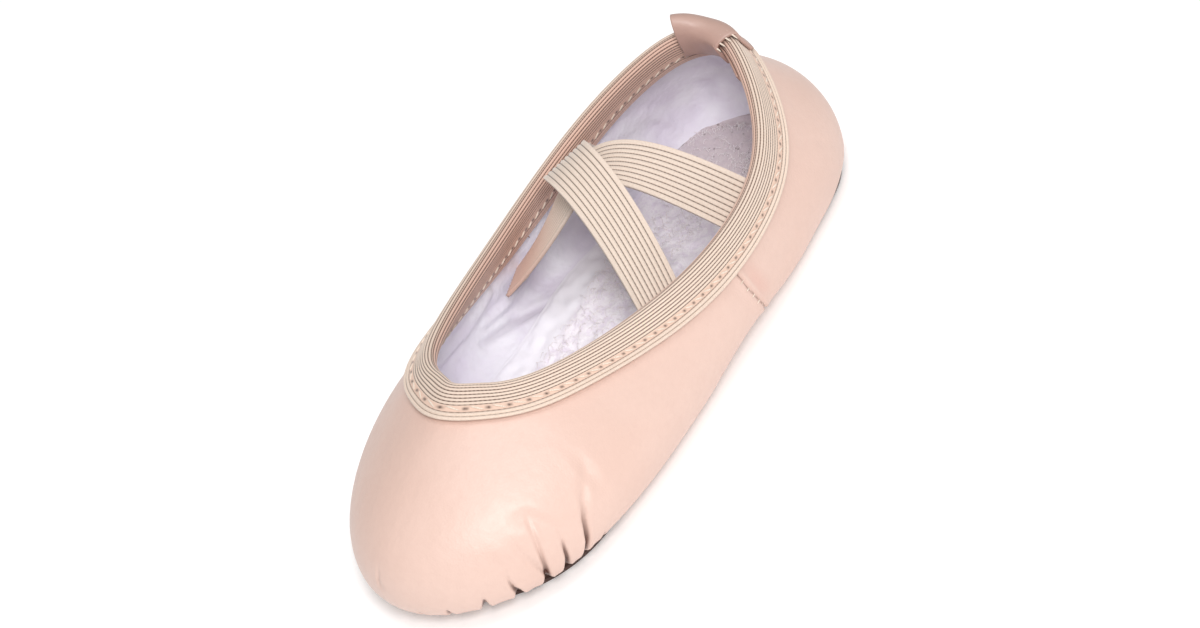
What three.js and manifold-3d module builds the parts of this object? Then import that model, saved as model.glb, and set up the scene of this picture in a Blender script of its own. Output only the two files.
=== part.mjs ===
// Ballet slipper: a soft split-sole dance shoe, standing empty on its two sole pads.
// Millimetres. +X runs from heel to toe, +Y to the shoe's left side, +Z up from the floor.
import * as THREE from 'three';
import { mergeVertices } from 'three/addons/utils/BufferGeometryUtils.js';
import Module from 'manifold-3d';

// Driving sizes
const LENGTH = 175;
const BALL_WIDTH = 75;
const HEEL_HEIGHT = 46;
const INSTEP_HEIGHT = 41.5;
const SWELL_HEIGHT = 14;
const EDGE_TUCK = 10;
const ARCH_LIFT = 3;
const TOE_SPRING = 1.4;
const UPPER_WALL = 1.4;
const SOLE_THICKNESS = 2;
const SOLE_LAP = 8;
const FOREFOOT_SOLE_LENGTH = 67.5;
const FOREFOOT_SOLE_WIDTH = 58;
const HEEL_SOLE_LENGTH = 40;
const HEEL_SOLE_WIDTH = 49.6;
const INSOLE_THICKNESS = 2;
const BINDING_LEG = 10;
const BINDING_THICKNESS = 1;
const TAB_WIDTH = 19;
const TAB_LEG = 7;
const TAB_RISE = 7;
const TAB_NEAR_RISE = 1.6;
const TAB_THICKNESS = 1;
const FACING_DEPTH = 12;
const FACING_THICKNESS = 0.8;
const STRAP_WIDTH = 13.4;
const STRAP_THICKNESS = 1.2;
const PLEAT_DEPTH = 0.9;
const FIT_GAP = 0.3;

// Places along the length, as shares of half the length from the middle
const HEEL_BACK_SHARE = -0.971;
const FOREFOOT_FRONT_SHARE = 0.869;

// Shape shares: handles of the wall's curve at the collar and at the widest line, handle of a quarter
// round, how far the keel line runs of the tread's length, and how far the insole stops inside the tread
const COLLAR_HANDLE = 0.42;
const SWELL_HANDLE = 0.3;
const ROUND_HANDLE = 0.5523;
const KEEL_SHARE = 0.8;
const INSOLE_SHARE = 0.06;

// Rows of numbers under named columns
function table(columns, ...rows) {
  return rows.map((row) => Object.fromEntries(row.map((value, i) => [columns[i], value])));
}

// Sections from the heel back (first row) to the toe tip (last row), mirrored for the other side.
// collarX and swellX are shares of half the length, collarY and swellY of half the ball width,
// collarRise of the collar height there, swellRise of SWELL_HEIGHT and tuck of EDGE_TUCK.
// lean is the wall's angle from upright at the collar, in degrees.
const SECTIONS = table(
  ['collarX', 'collarY', 'collarRise', 'lean', 'swellX', 'swellY', 'swellRise', 'tuck'],
  [-0.834, 0, 1, 14, -1, 0, 1.5, 0.5],
  [-0.771, 0.315, 1, 13, -0.903, 0.613, 1, 0.45],
  [-0.509, 0.741, 0.79, 17, -0.583, 0.853, 1, 0.6],
  [-0.063, 0.757, 0.736, 21, -0.103, 0.94, 0.786, 0.85],
  [0.363, 0.463, 0.886, 43, 0.343, 1, 0.893, 0.85],
  [0.484, 0.16, 0.958, 63, 0.775, 0.765, 0.679, 0.9],
  [0.509, 0, 0.99, 70, 1, 0, 0.857, 1],
);

// Elastic straps. farAt and nearAt are stations round the collar, depths are shares of the binding's leg,
// off is the distance from the binding's inner face as a share of the strap width, pulls are the curve's
// handles as shares of half length, half ball width and instep height, twists are degrees from level.
const STRAPS = [
  {
    name: 'strap_front',
    farAt: -2.174, farDepth: 0.95, farOff: 0.17, farPull: [0.298, 0.379, 0.764], farTwist: -33,
    nearAt: 3.16, nearDepth: 0.59, nearOff: 0.05, nearPull: [-0.315, -0.899, 0.641], nearTwist: 35,
    crownTwist: -7,
  },
  {
    name: 'strap_rear',
    farAt: -3.04, farDepth: 1.5, farOff: 0.12, farPull: [-0.207, 0.651, 0.516], farTwist: 16,
    nearAt: 2.289, nearDepth: 0.56, nearOff: 0.12, nearPull: [0.073, -1.149, 0.694], nearTwist: -24,
    crownTwist: 5,
  },
];

// Pleats gathered into the forefoot sole: station round the shoe and share of PLEAT_DEPTH.
// Each reaches the same share of a station either way, and fades out from one row over some rows.
const PLEATS = table(
  ['at', 'depth'],
  [14 / 3, 1],
  [5, 1],
  [16 / 3, 0.8],
  [17 / 3, 0.6],
);
const PLEAT_SHAPE = { reach: 1 / 6, row: 1.35, fade: 0.6 };

// Heel facing: middle and reach round the collar in stations, and how far its foot curves up at the ends
const FACING_SHAPE = { middle: 0.4, reach: 0.8, curve: 0.9 };

const HALF_LENGTH = LENGTH / 2;
const HALF_WIDTH = BALL_WIDTH / 2;
const TOE_STATION = SECTIONS.length - 1;
const STATIONS = 2 * TOE_STATION;
const COLUMNS = 6 * STATIONS;
const UPPER_WALL_STEPS = 6;
const FACING_COLUMNS = 14;
const TAB_COLUMNS = 12;
const TAB_FOLD_STEPS = 6;
const STRAP_STEPS = 24;
const SOLE_POINTS = 48;
const SPLINE_SWEEPS = 40;
const UNDERSIDE = SOLE_THICKNESS + FIT_GAP;
const COLLAR_ALLOWANCE = BINDING_THICKNESS + FIT_GAP;
const BINDING_OUTSIDE = FIT_GAP + BINDING_THICKNESS;
const BINDING_INSIDE = -(UPPER_WALL + FIT_GAP + BINDING_THICKNESS);
const SPRING_START = FOREFOOT_FRONT_SHARE * HALF_LENGTH;
const ARCH_BACK = HEEL_BACK_SHARE * HALF_LENGTH + HEEL_SOLE_LENGTH;
const ARCH_FRONT = SPRING_START - FOREFOOT_SOLE_LENGTH;
const STEP = 1e-3;
const MERGE = 1e-4;
const UP = new THREE.Vector3(0, 0, 1);

const { abs, cos, max, min, PI, sign, sin, sqrt } = Math;
const radians = THREE.MathUtils.degToRad;
const mix = THREE.MathUtils.lerp;

// Smooth closed curve through one value per section, mirrored to the other side of the shoe.
// side is 1 where both sides share the value and -1 where the value changes sign.
function around(valueOf, side) {
  const half = SECTIONS.map(valueOf);
  const values = [...half, ...half.slice(1, -1).reverse().map((value) => side * value)];
  const count = values.length;
  const slopes = values.map(() => 0);
  for (let sweep = 0; sweep < SPLINE_SWEEPS; sweep += 1) {
    for (let i = 0; i < count; i += 1) {
      const before = (i + count - 1) % count;
      const after = (i + 1) % count;
      slopes[i] = (3 * (values[after] - values[before]) - slopes[before] - slopes[after]) / 4;
    }
  }
  return (station) => {
    const place = THREE.MathUtils.euclideanModulo(station, count);
    const i = Math.floor(place) % count;
    const j = (i + 1) % count;
    const f = place - Math.floor(place);
    const rise = f * f * (3 - 2 * f);
    return mix(values[i], values[j], rise) + f * (1 - f) * (slopes[i] * (1 - f) - slopes[j] * f);
  };
}

function collarHeight(section, index) {
  return section.collarRise * mix(HEEL_HEIGHT, INSTEP_HEIGHT, index / TOE_STATION);
}

const collar = {
  x: around((section) => section.collarX * HALF_LENGTH, 1),
  y: around((section) => section.collarY * HALF_WIDTH, -1),
  z: around(collarHeight, 1),
};
const swell = {
  x: around((section) => section.swellX * HALF_LENGTH, 1),
  y: around((section) => section.swellY * HALF_WIDTH, -1),
  z: around((section) => section.swellRise * SWELL_HEIGHT, 1),
};
const leanAt = around((section) => radians(section.lean), 1);
const tuckAt = around((section) => section.tuck * EDGE_TUCK, 1);

function pointOn(curve, station) {
  return new THREE.Vector3(curve.x(station), curve.y(station), curve.z(station));
}

// Height of the shoe's underside: flat over both sole pads, raised at the arch and ahead of the pads
function undersideAt(x) {
  const arch = THREE.MathUtils.clamp((x - ARCH_BACK) / (ARCH_FRONT - ARCH_BACK), 0, 1);
  const toe = THREE.MathUtils.clamp((x - SPRING_START) / (HALF_LENGTH - SPRING_START), 0, 1);
  return UNDERSIDE + ARCH_LIFT * sin(PI * arch) ** 2 + TOE_SPRING * toe * toe;
}

// Outward direction of the widest line, in plan
function outwardAt(station) {
  const run = pointOn(swell, station + STEP).sub(pointOn(swell, station - STEP)).setZ(0);
  return new THREE.Vector3(-run.y, run.x, 0).normalize();
}

// One profile of the skin, from the collar over the widest point and the tread edge to the keel line
function profileAt(station) {
  const top = pointOn(collar, station);
  const widest = pointOn(swell, station);
  const outward = outwardAt(station);
  const flat = widest.clone().sub(top).setZ(0).normalize();
  const reach = top.distanceTo(widest);
  const lean = leanAt(station);
  const start = flat.multiplyScalar(sin(lean)).addScaledVector(UP, -cos(lean));
  const tread = widest.clone().addScaledVector(outward, -tuckAt(station));
  tread.z = undersideAt(tread.x);
  const wall = new THREE.CubicBezierCurve3(
    top,
    top.clone().addScaledVector(start, COLLAR_HANDLE * reach),
    widest.clone().addScaledVector(UP, SWELL_HANDLE * reach),
    widest,
  );
  const turn = new THREE.CubicBezierCurve3(
    widest,
    widest.clone().addScaledVector(UP, ROUND_HANDLE * (tread.z - widest.z)),
    tread.clone().addScaledVector(outward, ROUND_HANDLE * tuckAt(station)),
    tread,
  );
  return { wall, turn, tread };
}

// Plain skin at a row from 0 (collar) through 1 (widest), 2 (tread edge) to 3 (keel line)
function skinAt(station, row) {
  const { wall, turn, tread } = profileAt(station);
  if (row <= 1) {
    return wall.getPoint(max(row, 0));
  }
  if (row <= 2) {
    return turn.getPoint(row - 1);
  }
  const x = tread.x * mix(1, KEEL_SHARE, row - 2);
  return new THREE.Vector3(x, tread.y * (3 - row), undersideAt(x));
}

function skinNormal(station, row) {
  if (row >= 2) {
    const { x } = skinAt(station, row);
    const slope = (undersideAt(x + STEP) - undersideAt(x - STEP)) / (2 * STEP);
    return new THREE.Vector3(slope, 0, -1).normalize();
  }
  const low = max(row - STEP, 0);
  const high = min(row + STEP, 2);
  const down = skinAt(station, high).sub(skinAt(station, low));
  const along = skinAt(station + STEP, row).sub(skinAt(station - STEP, row));
  return along.cross(down).normalize();
}

// Skin row that lies a given depth below the collar, measured along the wall
function rowAtDepth(station, depth) {
  const { wall } = profileAt(station);
  return wall.getUtoTmapping(max(depth, 0) / wall.getLength());
}

// Point at a depth below the collar and a distance out from the skin; a depth below zero stands above it
function placeAt(station, depth, out) {
  const row = rowAtDepth(station, depth);
  const point = skinAt(station, row).addScaledVector(skinNormal(station, row), out);
  const rise = profileAt(station).wall.getTangent(row).multiplyScalar(min(depth, 0));
  return point.add(rise);
}

// How far the gathers draw the skin in, fading out above the widest line and under the sole
function pleatDraw(station, row) {
  const side = abs(THREE.MathUtils.euclideanModulo(station + TOE_STATION, STATIONS) - TOE_STATION);
  const fade = max(0, 1 - ((row - PLEAT_SHAPE.row) / PLEAT_SHAPE.fade) ** 2);
  const fold = ({ at, depth }) => depth * max(0, 1 - abs(side - at) / PLEAT_SHAPE.reach);
  return PLEAT_DEPTH * fade * PLEATS.reduce((sum, pleat) => sum + fold(pleat), 0);
}

function upperSkin(station, row, out) {
  const normal = skinNormal(station, row);
  return skinAt(station, row).addScaledVector(normal, out - pleatDraw(station, row));
}

function range(count, at) {
  return Array.from({ length: count }, (_, i) => at(i));
}

// Closed body between two grids of points, grid[line][step], whose front faces outwards.
// ring joins the last line to the first, and hem leaves the last steps to meet each other.
function slab(front, back, { ring = false, hem = false }) {
  const positions = [];
  const quad = (a, b, c, d) => {
    const corners = a.distanceTo(c) < b.distanceTo(d) ? [a, c, b, a, d, c] : [b, d, c, b, a, d];
    for (const point of corners) {
      positions.push(point.x, point.y, point.z);
    }
  };
  const lines = front.length;
  const last = front[0].length - 1;
  const spans = ring ? lines : lines - 1;
  for (let i = 0; i < spans; i += 1) {
    const j = (i + 1) % lines;
    for (let k = 0; k < last; k += 1) {
      quad(front[i][k], front[i][k + 1], front[j][k + 1], front[j][k]);
      quad(back[j][k], back[j][k + 1], back[i][k + 1], back[i][k]);
    }
    quad(back[i][0], front[i][0], front[j][0], back[j][0]);
    if (!hem) {
      quad(front[i][last], back[i][last], back[j][last], front[j][last]);
    }
  }
  if (!ring) {
    for (let k = 0; k < last; k += 1) {
      quad(back[0][k], back[0][k + 1], front[0][k + 1], front[0][k]);
      quad(front[lines - 1][k], front[lines - 1][k + 1], back[lines - 1][k + 1], back[lines - 1][k]);
    }
  }
  const body = new THREE.BufferGeometry();
  body.setAttribute('position', new THREE.Float32BufferAttribute(positions, 3));
  return body;
}

function named(name, geometry, colour, roughness) {
  const merged = mergeVertices(geometry, MERGE);
  merged.computeVertexNormals();
  const material = new THREE.MeshStandardMaterial({ color: colour, roughness, metalness: 0 });
  const mesh = new THREE.Mesh(merged, material);
  mesh.name = name;
  return mesh;
}

// Plan of a sole pad: two half ovals that share their widest line, drawn in by an inset.
// roundness is 1 for ellipses, and less for ovals with fuller corners.
function solePlan({ back, length, width, widestShare, roundness }, inset) {
  const widestX = back + length * widestShare;
  const behind = length * widestShare - inset;
  const ahead = length * (1 - widestShare) - inset;
  const half = width / 2 - inset;
  const full = (value) => sign(value) * abs(value) ** roundness;
  const points = range(SOLE_POINTS, (i) => {
    const angle = (2 * PI * (i + 0.5)) / SOLE_POINTS;
    const reach = cos(angle) > 0 ? ahead : behind;
    return new THREE.Vector2(widestX + reach * full(cos(angle)), half * full(sin(angle)));
  });
  return new THREE.Shape(points);
}

const SOLES = [
  {
    name: 'forefoot_sole',
    back: ARCH_FRONT,
    length: FOREFOOT_SOLE_LENGTH,
    width: FOREFOOT_SOLE_WIDTH,
    widestShare: 0.55,
    roundness: 1,
  },
  {
    name: 'heel_sole',
    back: HEEL_BACK_SHARE * HALF_LENGTH,
    length: HEEL_SOLE_LENGTH,
    width: HEEL_SOLE_WIDTH,
    widestShare: 0.68,
    roundness: 0.75,
  },
];

function soleMesh(sole) {
  const edge = SOLE_THICKNESS / 4;
  const geometry = new THREE.ExtrudeGeometry(solePlan(sole, edge), {
    depth: SOLE_THICKNESS - 2 * edge,
    bevelEnabled: true,
    bevelThickness: edge,
    bevelSize: edge,
    bevelSegments: 1,
  });
  geometry.translate(0, 0, edge);
  geometry.deleteAttribute('normal');
  geometry.deleteAttribute('uv');
  return named(sole.name, geometry, 0xd9bcad, 0.95);
}

// Opening left in the upper under a sole pad, which laps it all round
function soleOpening(sole) {
  const geometry = new THREE.ExtrudeGeometry(solePlan(sole, SOLE_LAP), {
    depth: 2 * (UNDERSIDE + UPPER_WALL),
    bevelEnabled: false,
  });
  geometry.deleteAttribute('normal');
  geometry.deleteAttribute('uv');
  return mergeVertices(geometry, MERGE);
}

const wasm = await Module();
wasm.setup();

function toSolid(geometry) {
  const merged = mergeVertices(geometry, MERGE);
  return new wasm.Manifold(new wasm.Mesh({
    numProp: 3,
    vertProperties: new Float32Array(merged.attributes.position.array),
    triVerts: new Uint32Array(merged.index.array),
  }));
}

function toGeometry(solid) {
  const { vertProperties, triVerts } = solid.getMesh();
  const geometry = new THREE.BufferGeometry();
  geometry.setAttribute('position', new THREE.BufferAttribute(vertProperties, 3));
  geometry.setIndex(new THREE.BufferAttribute(triVerts, 1));
  return geometry;
}

function upperMesh() {
  const rows = (station) => [
    rowAtDepth(station, COLLAR_ALLOWANCE),
    rowAtDepth(station, BINDING_LEG / 2),
    ...range(UPPER_WALL_STEPS + 1, (i) => mix(rowAtDepth(station, BINDING_LEG), 1, i / UPPER_WALL_STEPS)),
    1.25, 1.5, 1.75, 2, 2.5, 3,
  ];
  const lines = (out) => range(COLUMNS, (column) => {
    const station = (column * STATIONS) / COLUMNS;
    return rows(station).map((row) => upperSkin(station, row, out));
  });
  const cup = toSolid(slab(lines(0), lines(-UPPER_WALL), { ring: true, hem: true }));
  const open = SOLES.reduce((body, sole) => body.subtract(toSolid(soleOpening(sole))), cup);
  return named('upper', toGeometry(open), 0xf4d2c7, 0.5);
}

function insoleMesh() {
  const seat = -UPPER_WALL - FIT_GAP;
  const lines = (out) => range(COLUMNS, (column) => {
    const station = (column * STATIONS) / COLUMNS;
    const rows = [2 + INSOLE_SHARE, 2.5, 3];
    return rows.map((row) => skinAt(station, row).addScaledVector(skinNormal(station, row), out));
  });
  const geometry = slab(lines(seat), lines(seat - INSOLE_THICKNESS), { ring: true, hem: true });
  return named('insole', geometry, 0xecdfef, 1);
}

// Elastic binding folded over the collar: outer leg, fold and inner leg
function bindingMesh() {
  const fold = BINDING_THICKNESS / 3;
  const outside = [
    [BINDING_LEG, BINDING_OUTSIDE],
    [BINDING_LEG / 2, BINDING_OUTSIDE],
    [fold, BINDING_OUTSIDE],
    [0, BINDING_OUTSIDE - fold],
    [0, BINDING_INSIDE + fold],
    [fold, BINDING_INSIDE],
    [BINDING_LEG / 2, BINDING_INSIDE],
    [BINDING_LEG, BINDING_INSIDE],
  ];
  const inside = [
    [BINDING_LEG, FIT_GAP],
    [BINDING_LEG / 2, FIT_GAP],
    [BINDING_THICKNESS, FIT_GAP],
    [BINDING_THICKNESS, 0],
    [BINDING_THICKNESS, -UPPER_WALL],
    [BINDING_THICKNESS, -UPPER_WALL - FIT_GAP],
    [BINDING_LEG / 2, -UPPER_WALL - FIT_GAP],
    [BINDING_LEG, -UPPER_WALL - FIT_GAP],
  ];
  const lines = (section) => range(COLUMNS, (column) => {
    const station = (column * STATIONS) / COLUMNS;
    return section.map(([depth, out]) => placeAt(station, depth, out));
  });
  return named('collar_binding', slab(lines(inside), lines(outside), { ring: true }), 0xe1d1c8, 0.8);
}

// Leather facing inside the heel, over the binding's inner leg
function facingMesh() {
  const outer = BINDING_INSIDE - FIT_GAP;
  const lines = (out) => range(FACING_COLUMNS + 1, (i) => {
    const share = mix(-1, 1, i / FACING_COLUMNS);
    const foot = mix(2 * BINDING_THICKNESS, FACING_DEPTH, sqrt(1 - FACING_SHAPE.curve * share * share));
    const depths = [BINDING_THICKNESS, mix(BINDING_THICKNESS, foot, 0.5), foot];
    return depths.map((depth) => placeAt(FACING_SHAPE.middle + FACING_SHAPE.reach * share, depth, out));
  });
  return named('heel_facing', slab(lines(outer), lines(outer - FACING_THICKNESS), {}), 0xbc9c91, 0.7);
}

// Leather tab folded over the binding at the heel. Its fold stands clear at the far end and
// comes down on to the binding at the near end.
function tabMesh() {
  const perStation = pointOn(collar, 1).distanceTo(pointOn(collar, 0));
  const halfSpan = TAB_WIDTH / 2 / perStation;
  const outer = BINDING_OUTSIDE + FIT_GAP;
  const inner = BINDING_INSIDE - FACING_THICKNESS - 2 * FIT_GAP;
  const middle = (outer + inner) / 2;
  const half = (outer - inner) / 2;
  const section = (grow, top) => [
    [TAB_LEG, outer + grow],
    [TAB_LEG / 2, outer + grow],
    ...range(TAB_FOLD_STEPS + 1, (i) => {
      const angle = (PI * i) / TAB_FOLD_STEPS;
      const rise = top - TAB_THICKNESS + grow;
      return [-rise * sin(angle), middle + (half + grow) * cos(angle)];
    }),
    [TAB_LEG / 3, inner - grow],
    [(2 * TAB_LEG) / 3, inner - grow],
  ];
  const lines = (grow) => range(TAB_COLUMNS + 1, (i) => {
    const share = i / TAB_COLUMNS;
    const station = mix(-halfSpan, halfSpan, share);
    const top = mix(TAB_RISE, TAB_NEAR_RISE, share);
    return section(grow, top).map(([depth, out]) => placeAt(station, depth, out));
  });
  return named('heel_tab', slab(lines(0), lines(TAB_THICKNESS), {}), 0xe1c2b8, 0.5);
}

// Flat elastic strap from the inner far wall over to the inner near wall
function strapMesh(strap) {
  const seat = BINDING_INSIDE - FIT_GAP - STRAP_THICKNESS / 2;
  const pull = ([x, y, z]) => new THREE.Vector3(x * HALF_LENGTH, y * HALF_WIDTH, z * INSTEP_HEIGHT);
  const far = placeAt(strap.farAt, strap.farDepth * BINDING_LEG, seat - strap.farOff * STRAP_WIDTH);
  const near = placeAt(strap.nearAt, strap.nearDepth * BINDING_LEG, seat - strap.nearOff * STRAP_WIDTH);
  const path = new THREE.CubicBezierCurve3(
    far,
    far.clone().add(pull(strap.farPull)),
    near.clone().add(pull(strap.nearPull)),
    near,
  );
  const lines = (lift) => range(STRAP_STEPS + 1, (i) => {
    const s = i / STRAP_STEPS;
    const centre = path.getPoint(s);
    const tangent = path.getTangent(s);
    const level = tangent.clone().cross(UP).normalize();
    const face = level.clone().cross(tangent);
    const twist = radians(mix(strap.farTwist, strap.nearTwist, s) + strap.crownTwist * 4 * s * (1 - s));
    const across = level.multiplyScalar(cos(twist)).addScaledVector(face, sin(twist));
    const normal = across.clone().cross(tangent);
    return [-0.5, 0, 0.5].map((share) => centre.clone()
      .addScaledVector(across, share * STRAP_WIDTH)
      .addScaledVector(normal, lift * STRAP_THICKNESS));
  });
  return named(strap.name, slab(lines(-0.5), lines(0.5), {}), 0xece0d7, 0.8);
}

const group = new THREE.Group();
group.add(upperMesh(), ...SOLES.map(soleMesh), insoleMesh());
group.add(bindingMesh(), facingMesh(), tabMesh(), ...STRAPS.map(strapMesh));

export default group;
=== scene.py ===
from collections import namedtuple
from math import cos, pi, radians, sin, sqrt
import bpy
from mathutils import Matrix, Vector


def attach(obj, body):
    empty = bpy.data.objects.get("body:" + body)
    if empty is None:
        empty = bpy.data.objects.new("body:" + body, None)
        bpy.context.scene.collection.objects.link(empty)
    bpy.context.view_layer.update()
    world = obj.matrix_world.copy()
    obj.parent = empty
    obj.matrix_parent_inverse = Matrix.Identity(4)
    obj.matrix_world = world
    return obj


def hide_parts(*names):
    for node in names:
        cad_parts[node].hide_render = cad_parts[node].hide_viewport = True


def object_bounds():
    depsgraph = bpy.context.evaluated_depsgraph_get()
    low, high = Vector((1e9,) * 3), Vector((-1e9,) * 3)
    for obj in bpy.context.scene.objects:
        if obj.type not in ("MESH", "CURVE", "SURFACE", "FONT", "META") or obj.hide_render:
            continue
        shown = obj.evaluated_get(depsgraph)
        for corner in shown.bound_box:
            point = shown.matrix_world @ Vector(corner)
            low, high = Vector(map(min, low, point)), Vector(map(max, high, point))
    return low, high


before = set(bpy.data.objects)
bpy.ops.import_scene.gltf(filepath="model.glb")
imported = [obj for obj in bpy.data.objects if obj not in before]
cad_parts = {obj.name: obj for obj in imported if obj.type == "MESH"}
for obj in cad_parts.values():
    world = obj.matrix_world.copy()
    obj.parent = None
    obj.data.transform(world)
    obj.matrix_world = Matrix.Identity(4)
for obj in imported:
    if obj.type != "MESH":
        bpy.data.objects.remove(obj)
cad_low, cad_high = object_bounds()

from types import SimpleNamespace

import bmesh
import bpy
import numpy as np
from bpy.props import FloatProperty, FloatVectorProperty, IntProperty, PointerProperty
from mathutils import Matrix, Vector

bl_info = {
    "name": "Ballet Slipper",
    "version": (1, 0, 0),
    "blender": (4, 5, 0),
    "location": "View3D > Sidebar > Slipper",
    "description": "Dresses a soft split-sole dance slipper in leather, elastic, suede and thread",
    "category": "Object",
}

MM = 0.001

# Driving sizes, in metres. The length and the width come from the frame's box.
HALF_LENGTH = (cad_high[0] - cad_low[0]) / 2
HALF_WIDTH = (cad_high[1] - cad_low[1]) / 2
HEEL_HEIGHT = 46 * MM
INSTEP_HEIGHT = 41.5 * MM
SWELL_HEIGHT = 14 * MM
EDGE_TUCK = 10 * MM
ARCH_LIFT = 3 * MM
TOE_SPRING = 1.4 * MM
UPPER_WALL = 1.4 * MM
SOLE_THICKNESS = 2 * MM
SOLE_LAP = 8 * MM
FOREFOOT_SOLE_LENGTH = 67.5 * MM
FOREFOOT_SOLE_WIDTH = 58 * MM
HEEL_SOLE_LENGTH = 40 * MM
HEEL_SOLE_WIDTH = 49.6 * MM
INSOLE_THICKNESS = 2 * MM
BINDING_LEG = 10 * MM
BINDING_THICKNESS = 1 * MM
TAB_WIDTH = 19 * MM
TAB_LEG = 7 * MM
TAB_RISE = 7 * MM
TAB_NEAR_RISE = 1.6 * MM
TAB_THICKNESS = 1 * MM
FACING_DEPTH = 12 * MM
FACING_THICKNESS = 0.8 * MM
STRAP_WIDTH = 13.4 * MM
STRAP_THICKNESS = 1.2 * MM
FIT_GAP = 0.3 * MM

# Places along the length, as shares of half the length from the middle
HEEL_SOLE_BACK = -0.971
FOREFOOT_SOLE_FRONT = 0.869

UNDERSIDE = SOLE_THICKNESS + FIT_GAP
BINDING_OUTSIDE = FIT_GAP + BINDING_THICKNESS
BINDING_INSIDE = -(UPPER_WALL + FIT_GAP + BINDING_THICKNESS)
FOLD_RADIUS = (BINDING_OUTSIDE - BINDING_INSIDE) / 2
FOLD_MIDDLE = (BINDING_OUTSIDE + BINDING_INSIDE) / 2
STRAIGHT = BINDING_LEG - FOLD_RADIUS
BINDING_PATH = 2 * STRAIGHT + pi * FOLD_RADIUS
SPRING_START = FOREFOOT_SOLE_FRONT * HALF_LENGTH
ARCH_BACK = HEEL_SOLE_BACK * HALF_LENGTH + HEEL_SOLE_LENGTH
ARCH_FRONT = SPRING_START - FOREFOOT_SOLE_LENGTH
KEEL_SHARE = 0.8
WALL_PULL = 0.42
SWELL_PULL = 0.3
ROUND = 0.5523
STEP = 1e-3
TINY = 1e-12
UP = np.array([0.0, 0.0, 1.0])

# Binding: ends of its two cords and of the stitched band, from its hem
CORD = 1.1 * MM
BAND_START = CORD + 0.95 * MM
BAND_END = 4 * MM

# Leather shell: columns and rows of its grid, shares of the rows to the widest line and the tread edge
UPPER_COLUMNS = 640
UPPER_ROWS = 72
WALL_SHARE = 0.42
TURN_SHARE = 0.84

# Seams of the leather: width and depth of the side seams' groove, width and height of the swell beside
# it, where they lie, and width and depth of the groove under the arch
SEAM_GROOVE = 1.6 * MM
SEAM_DEPTH = 0.55 * MM
SEAM_SWELL = 6 * MM
SEAM_RISE = 0.3 * MM
SEAM_STATION = 2.71
KEEL_GROOVE = 1.8 * MM
KEEL_DEPTH = 0.5 * MM

# Lining: rows where it ends at the heel and elsewhere, and how loose it hangs
LINING_HEEL_END = 1.72
LINING_END = 2.3
LINING_SLACK = 1.2 * MM

# Insole: rows where it ends at the heel and elsewhere, rows between which its face runs straight, its
# thickness at the edge, the shares of its grid where the face ends and the underside starts, its fibres
HEEL_EDGE = 1.5
INSOLE_EDGE = 2.06
RUN_START = 1.75
RUN_END = 2.1
THIN_EDGE = 0.9 * MM
FACE_SHARE = 0.75
UNDER_SHARE = 0.78
FIBRES = 640

# Soles: width and depth of the grooves that the stitches are sunk in, and the threads' height in them
STITCH_GROOVE = 1.5 * MM
STITCH_DEPTH = 0.4 * MM
STITCH_LEVEL = 0.26 * MM

# Heel tab: shares of its way down from inside where it turns over the collar
TAB_TURN_START = 0.3
TAB_TURN_END = 0.7

# Sections from the heel back to the toe tip, mirrored for the other side. The columns are shares of
# half the length, half the width, the collar height, SWELL_HEIGHT and EDGE_TUCK; lean is in degrees.
Section = namedtuple("Section", "collar_x collar_y collar_rise lean swell_x swell_y swell_rise tuck")
SECTIONS = [
    Section(-0.834, 0, 1, 14, -1, 0, 1.5, 0.5),
    Section(-0.771, 0.315, 1, 13, -0.903, 0.613, 1, 0.45),
    Section(-0.509, 0.741, 0.79, 17, -0.583, 0.853, 1, 0.6),
    Section(-0.063, 0.757, 0.736, 21, -0.103, 0.94, 0.786, 0.85),
    Section(0.363, 0.463, 0.886, 43, 0.343, 1, 0.893, 0.85),
    Section(0.484, 0.16, 0.958, 63, 0.775, 0.765, 0.679, 0.9),
    Section(0.509, 0, 0.99, 70, 1, 0, 0.857, 1),
]
TOE = len(SECTIONS) - 1
ROUND_TRIP = 2 * TOE

# Elastic straps: stations, depths as shares of the binding's leg, distances from the binding as shares
# of the strap's width, handles as shares of half length, half width and instep height, twists in degrees
Strap = namedtuple("Strap", "name far_at far_depth far_off far_pull far_twist "
                            "near_at near_depth near_off near_pull near_twist crown_twist")
STRAPS = [
    Strap("strap_front", -2.174, 0.95, 0.17, (0.298, 0.379, 0.764), -33,
          3.16, 0.59, 0.05, (-0.315, -0.899, 0.641), 35, -7),
    Strap("strap_rear", -3.04, 1.5, 0.12, (-0.207, 0.651, 0.516), 16,
          2.289, 0.56, 0.12, (0.073, -1.149, 0.694), -24, 5),
]

# Sole pads: two half outlines that share their widest line; roundness 1 is an ellipse, less is squarer
Pad = namedtuple("Pad", "name back length width widest_share roundness")
PADS = [
    Pad("forefoot_sole", ARCH_FRONT, FOREFOOT_SOLE_LENGTH, FOREFOOT_SOLE_WIDTH, 0.55, 1),
    Pad("heel_sole", HEEL_SOLE_BACK * HALF_LENGTH, HEEL_SOLE_LENGTH, HEEL_SOLE_WIDTH, 0.68, 0.75),
]

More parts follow.
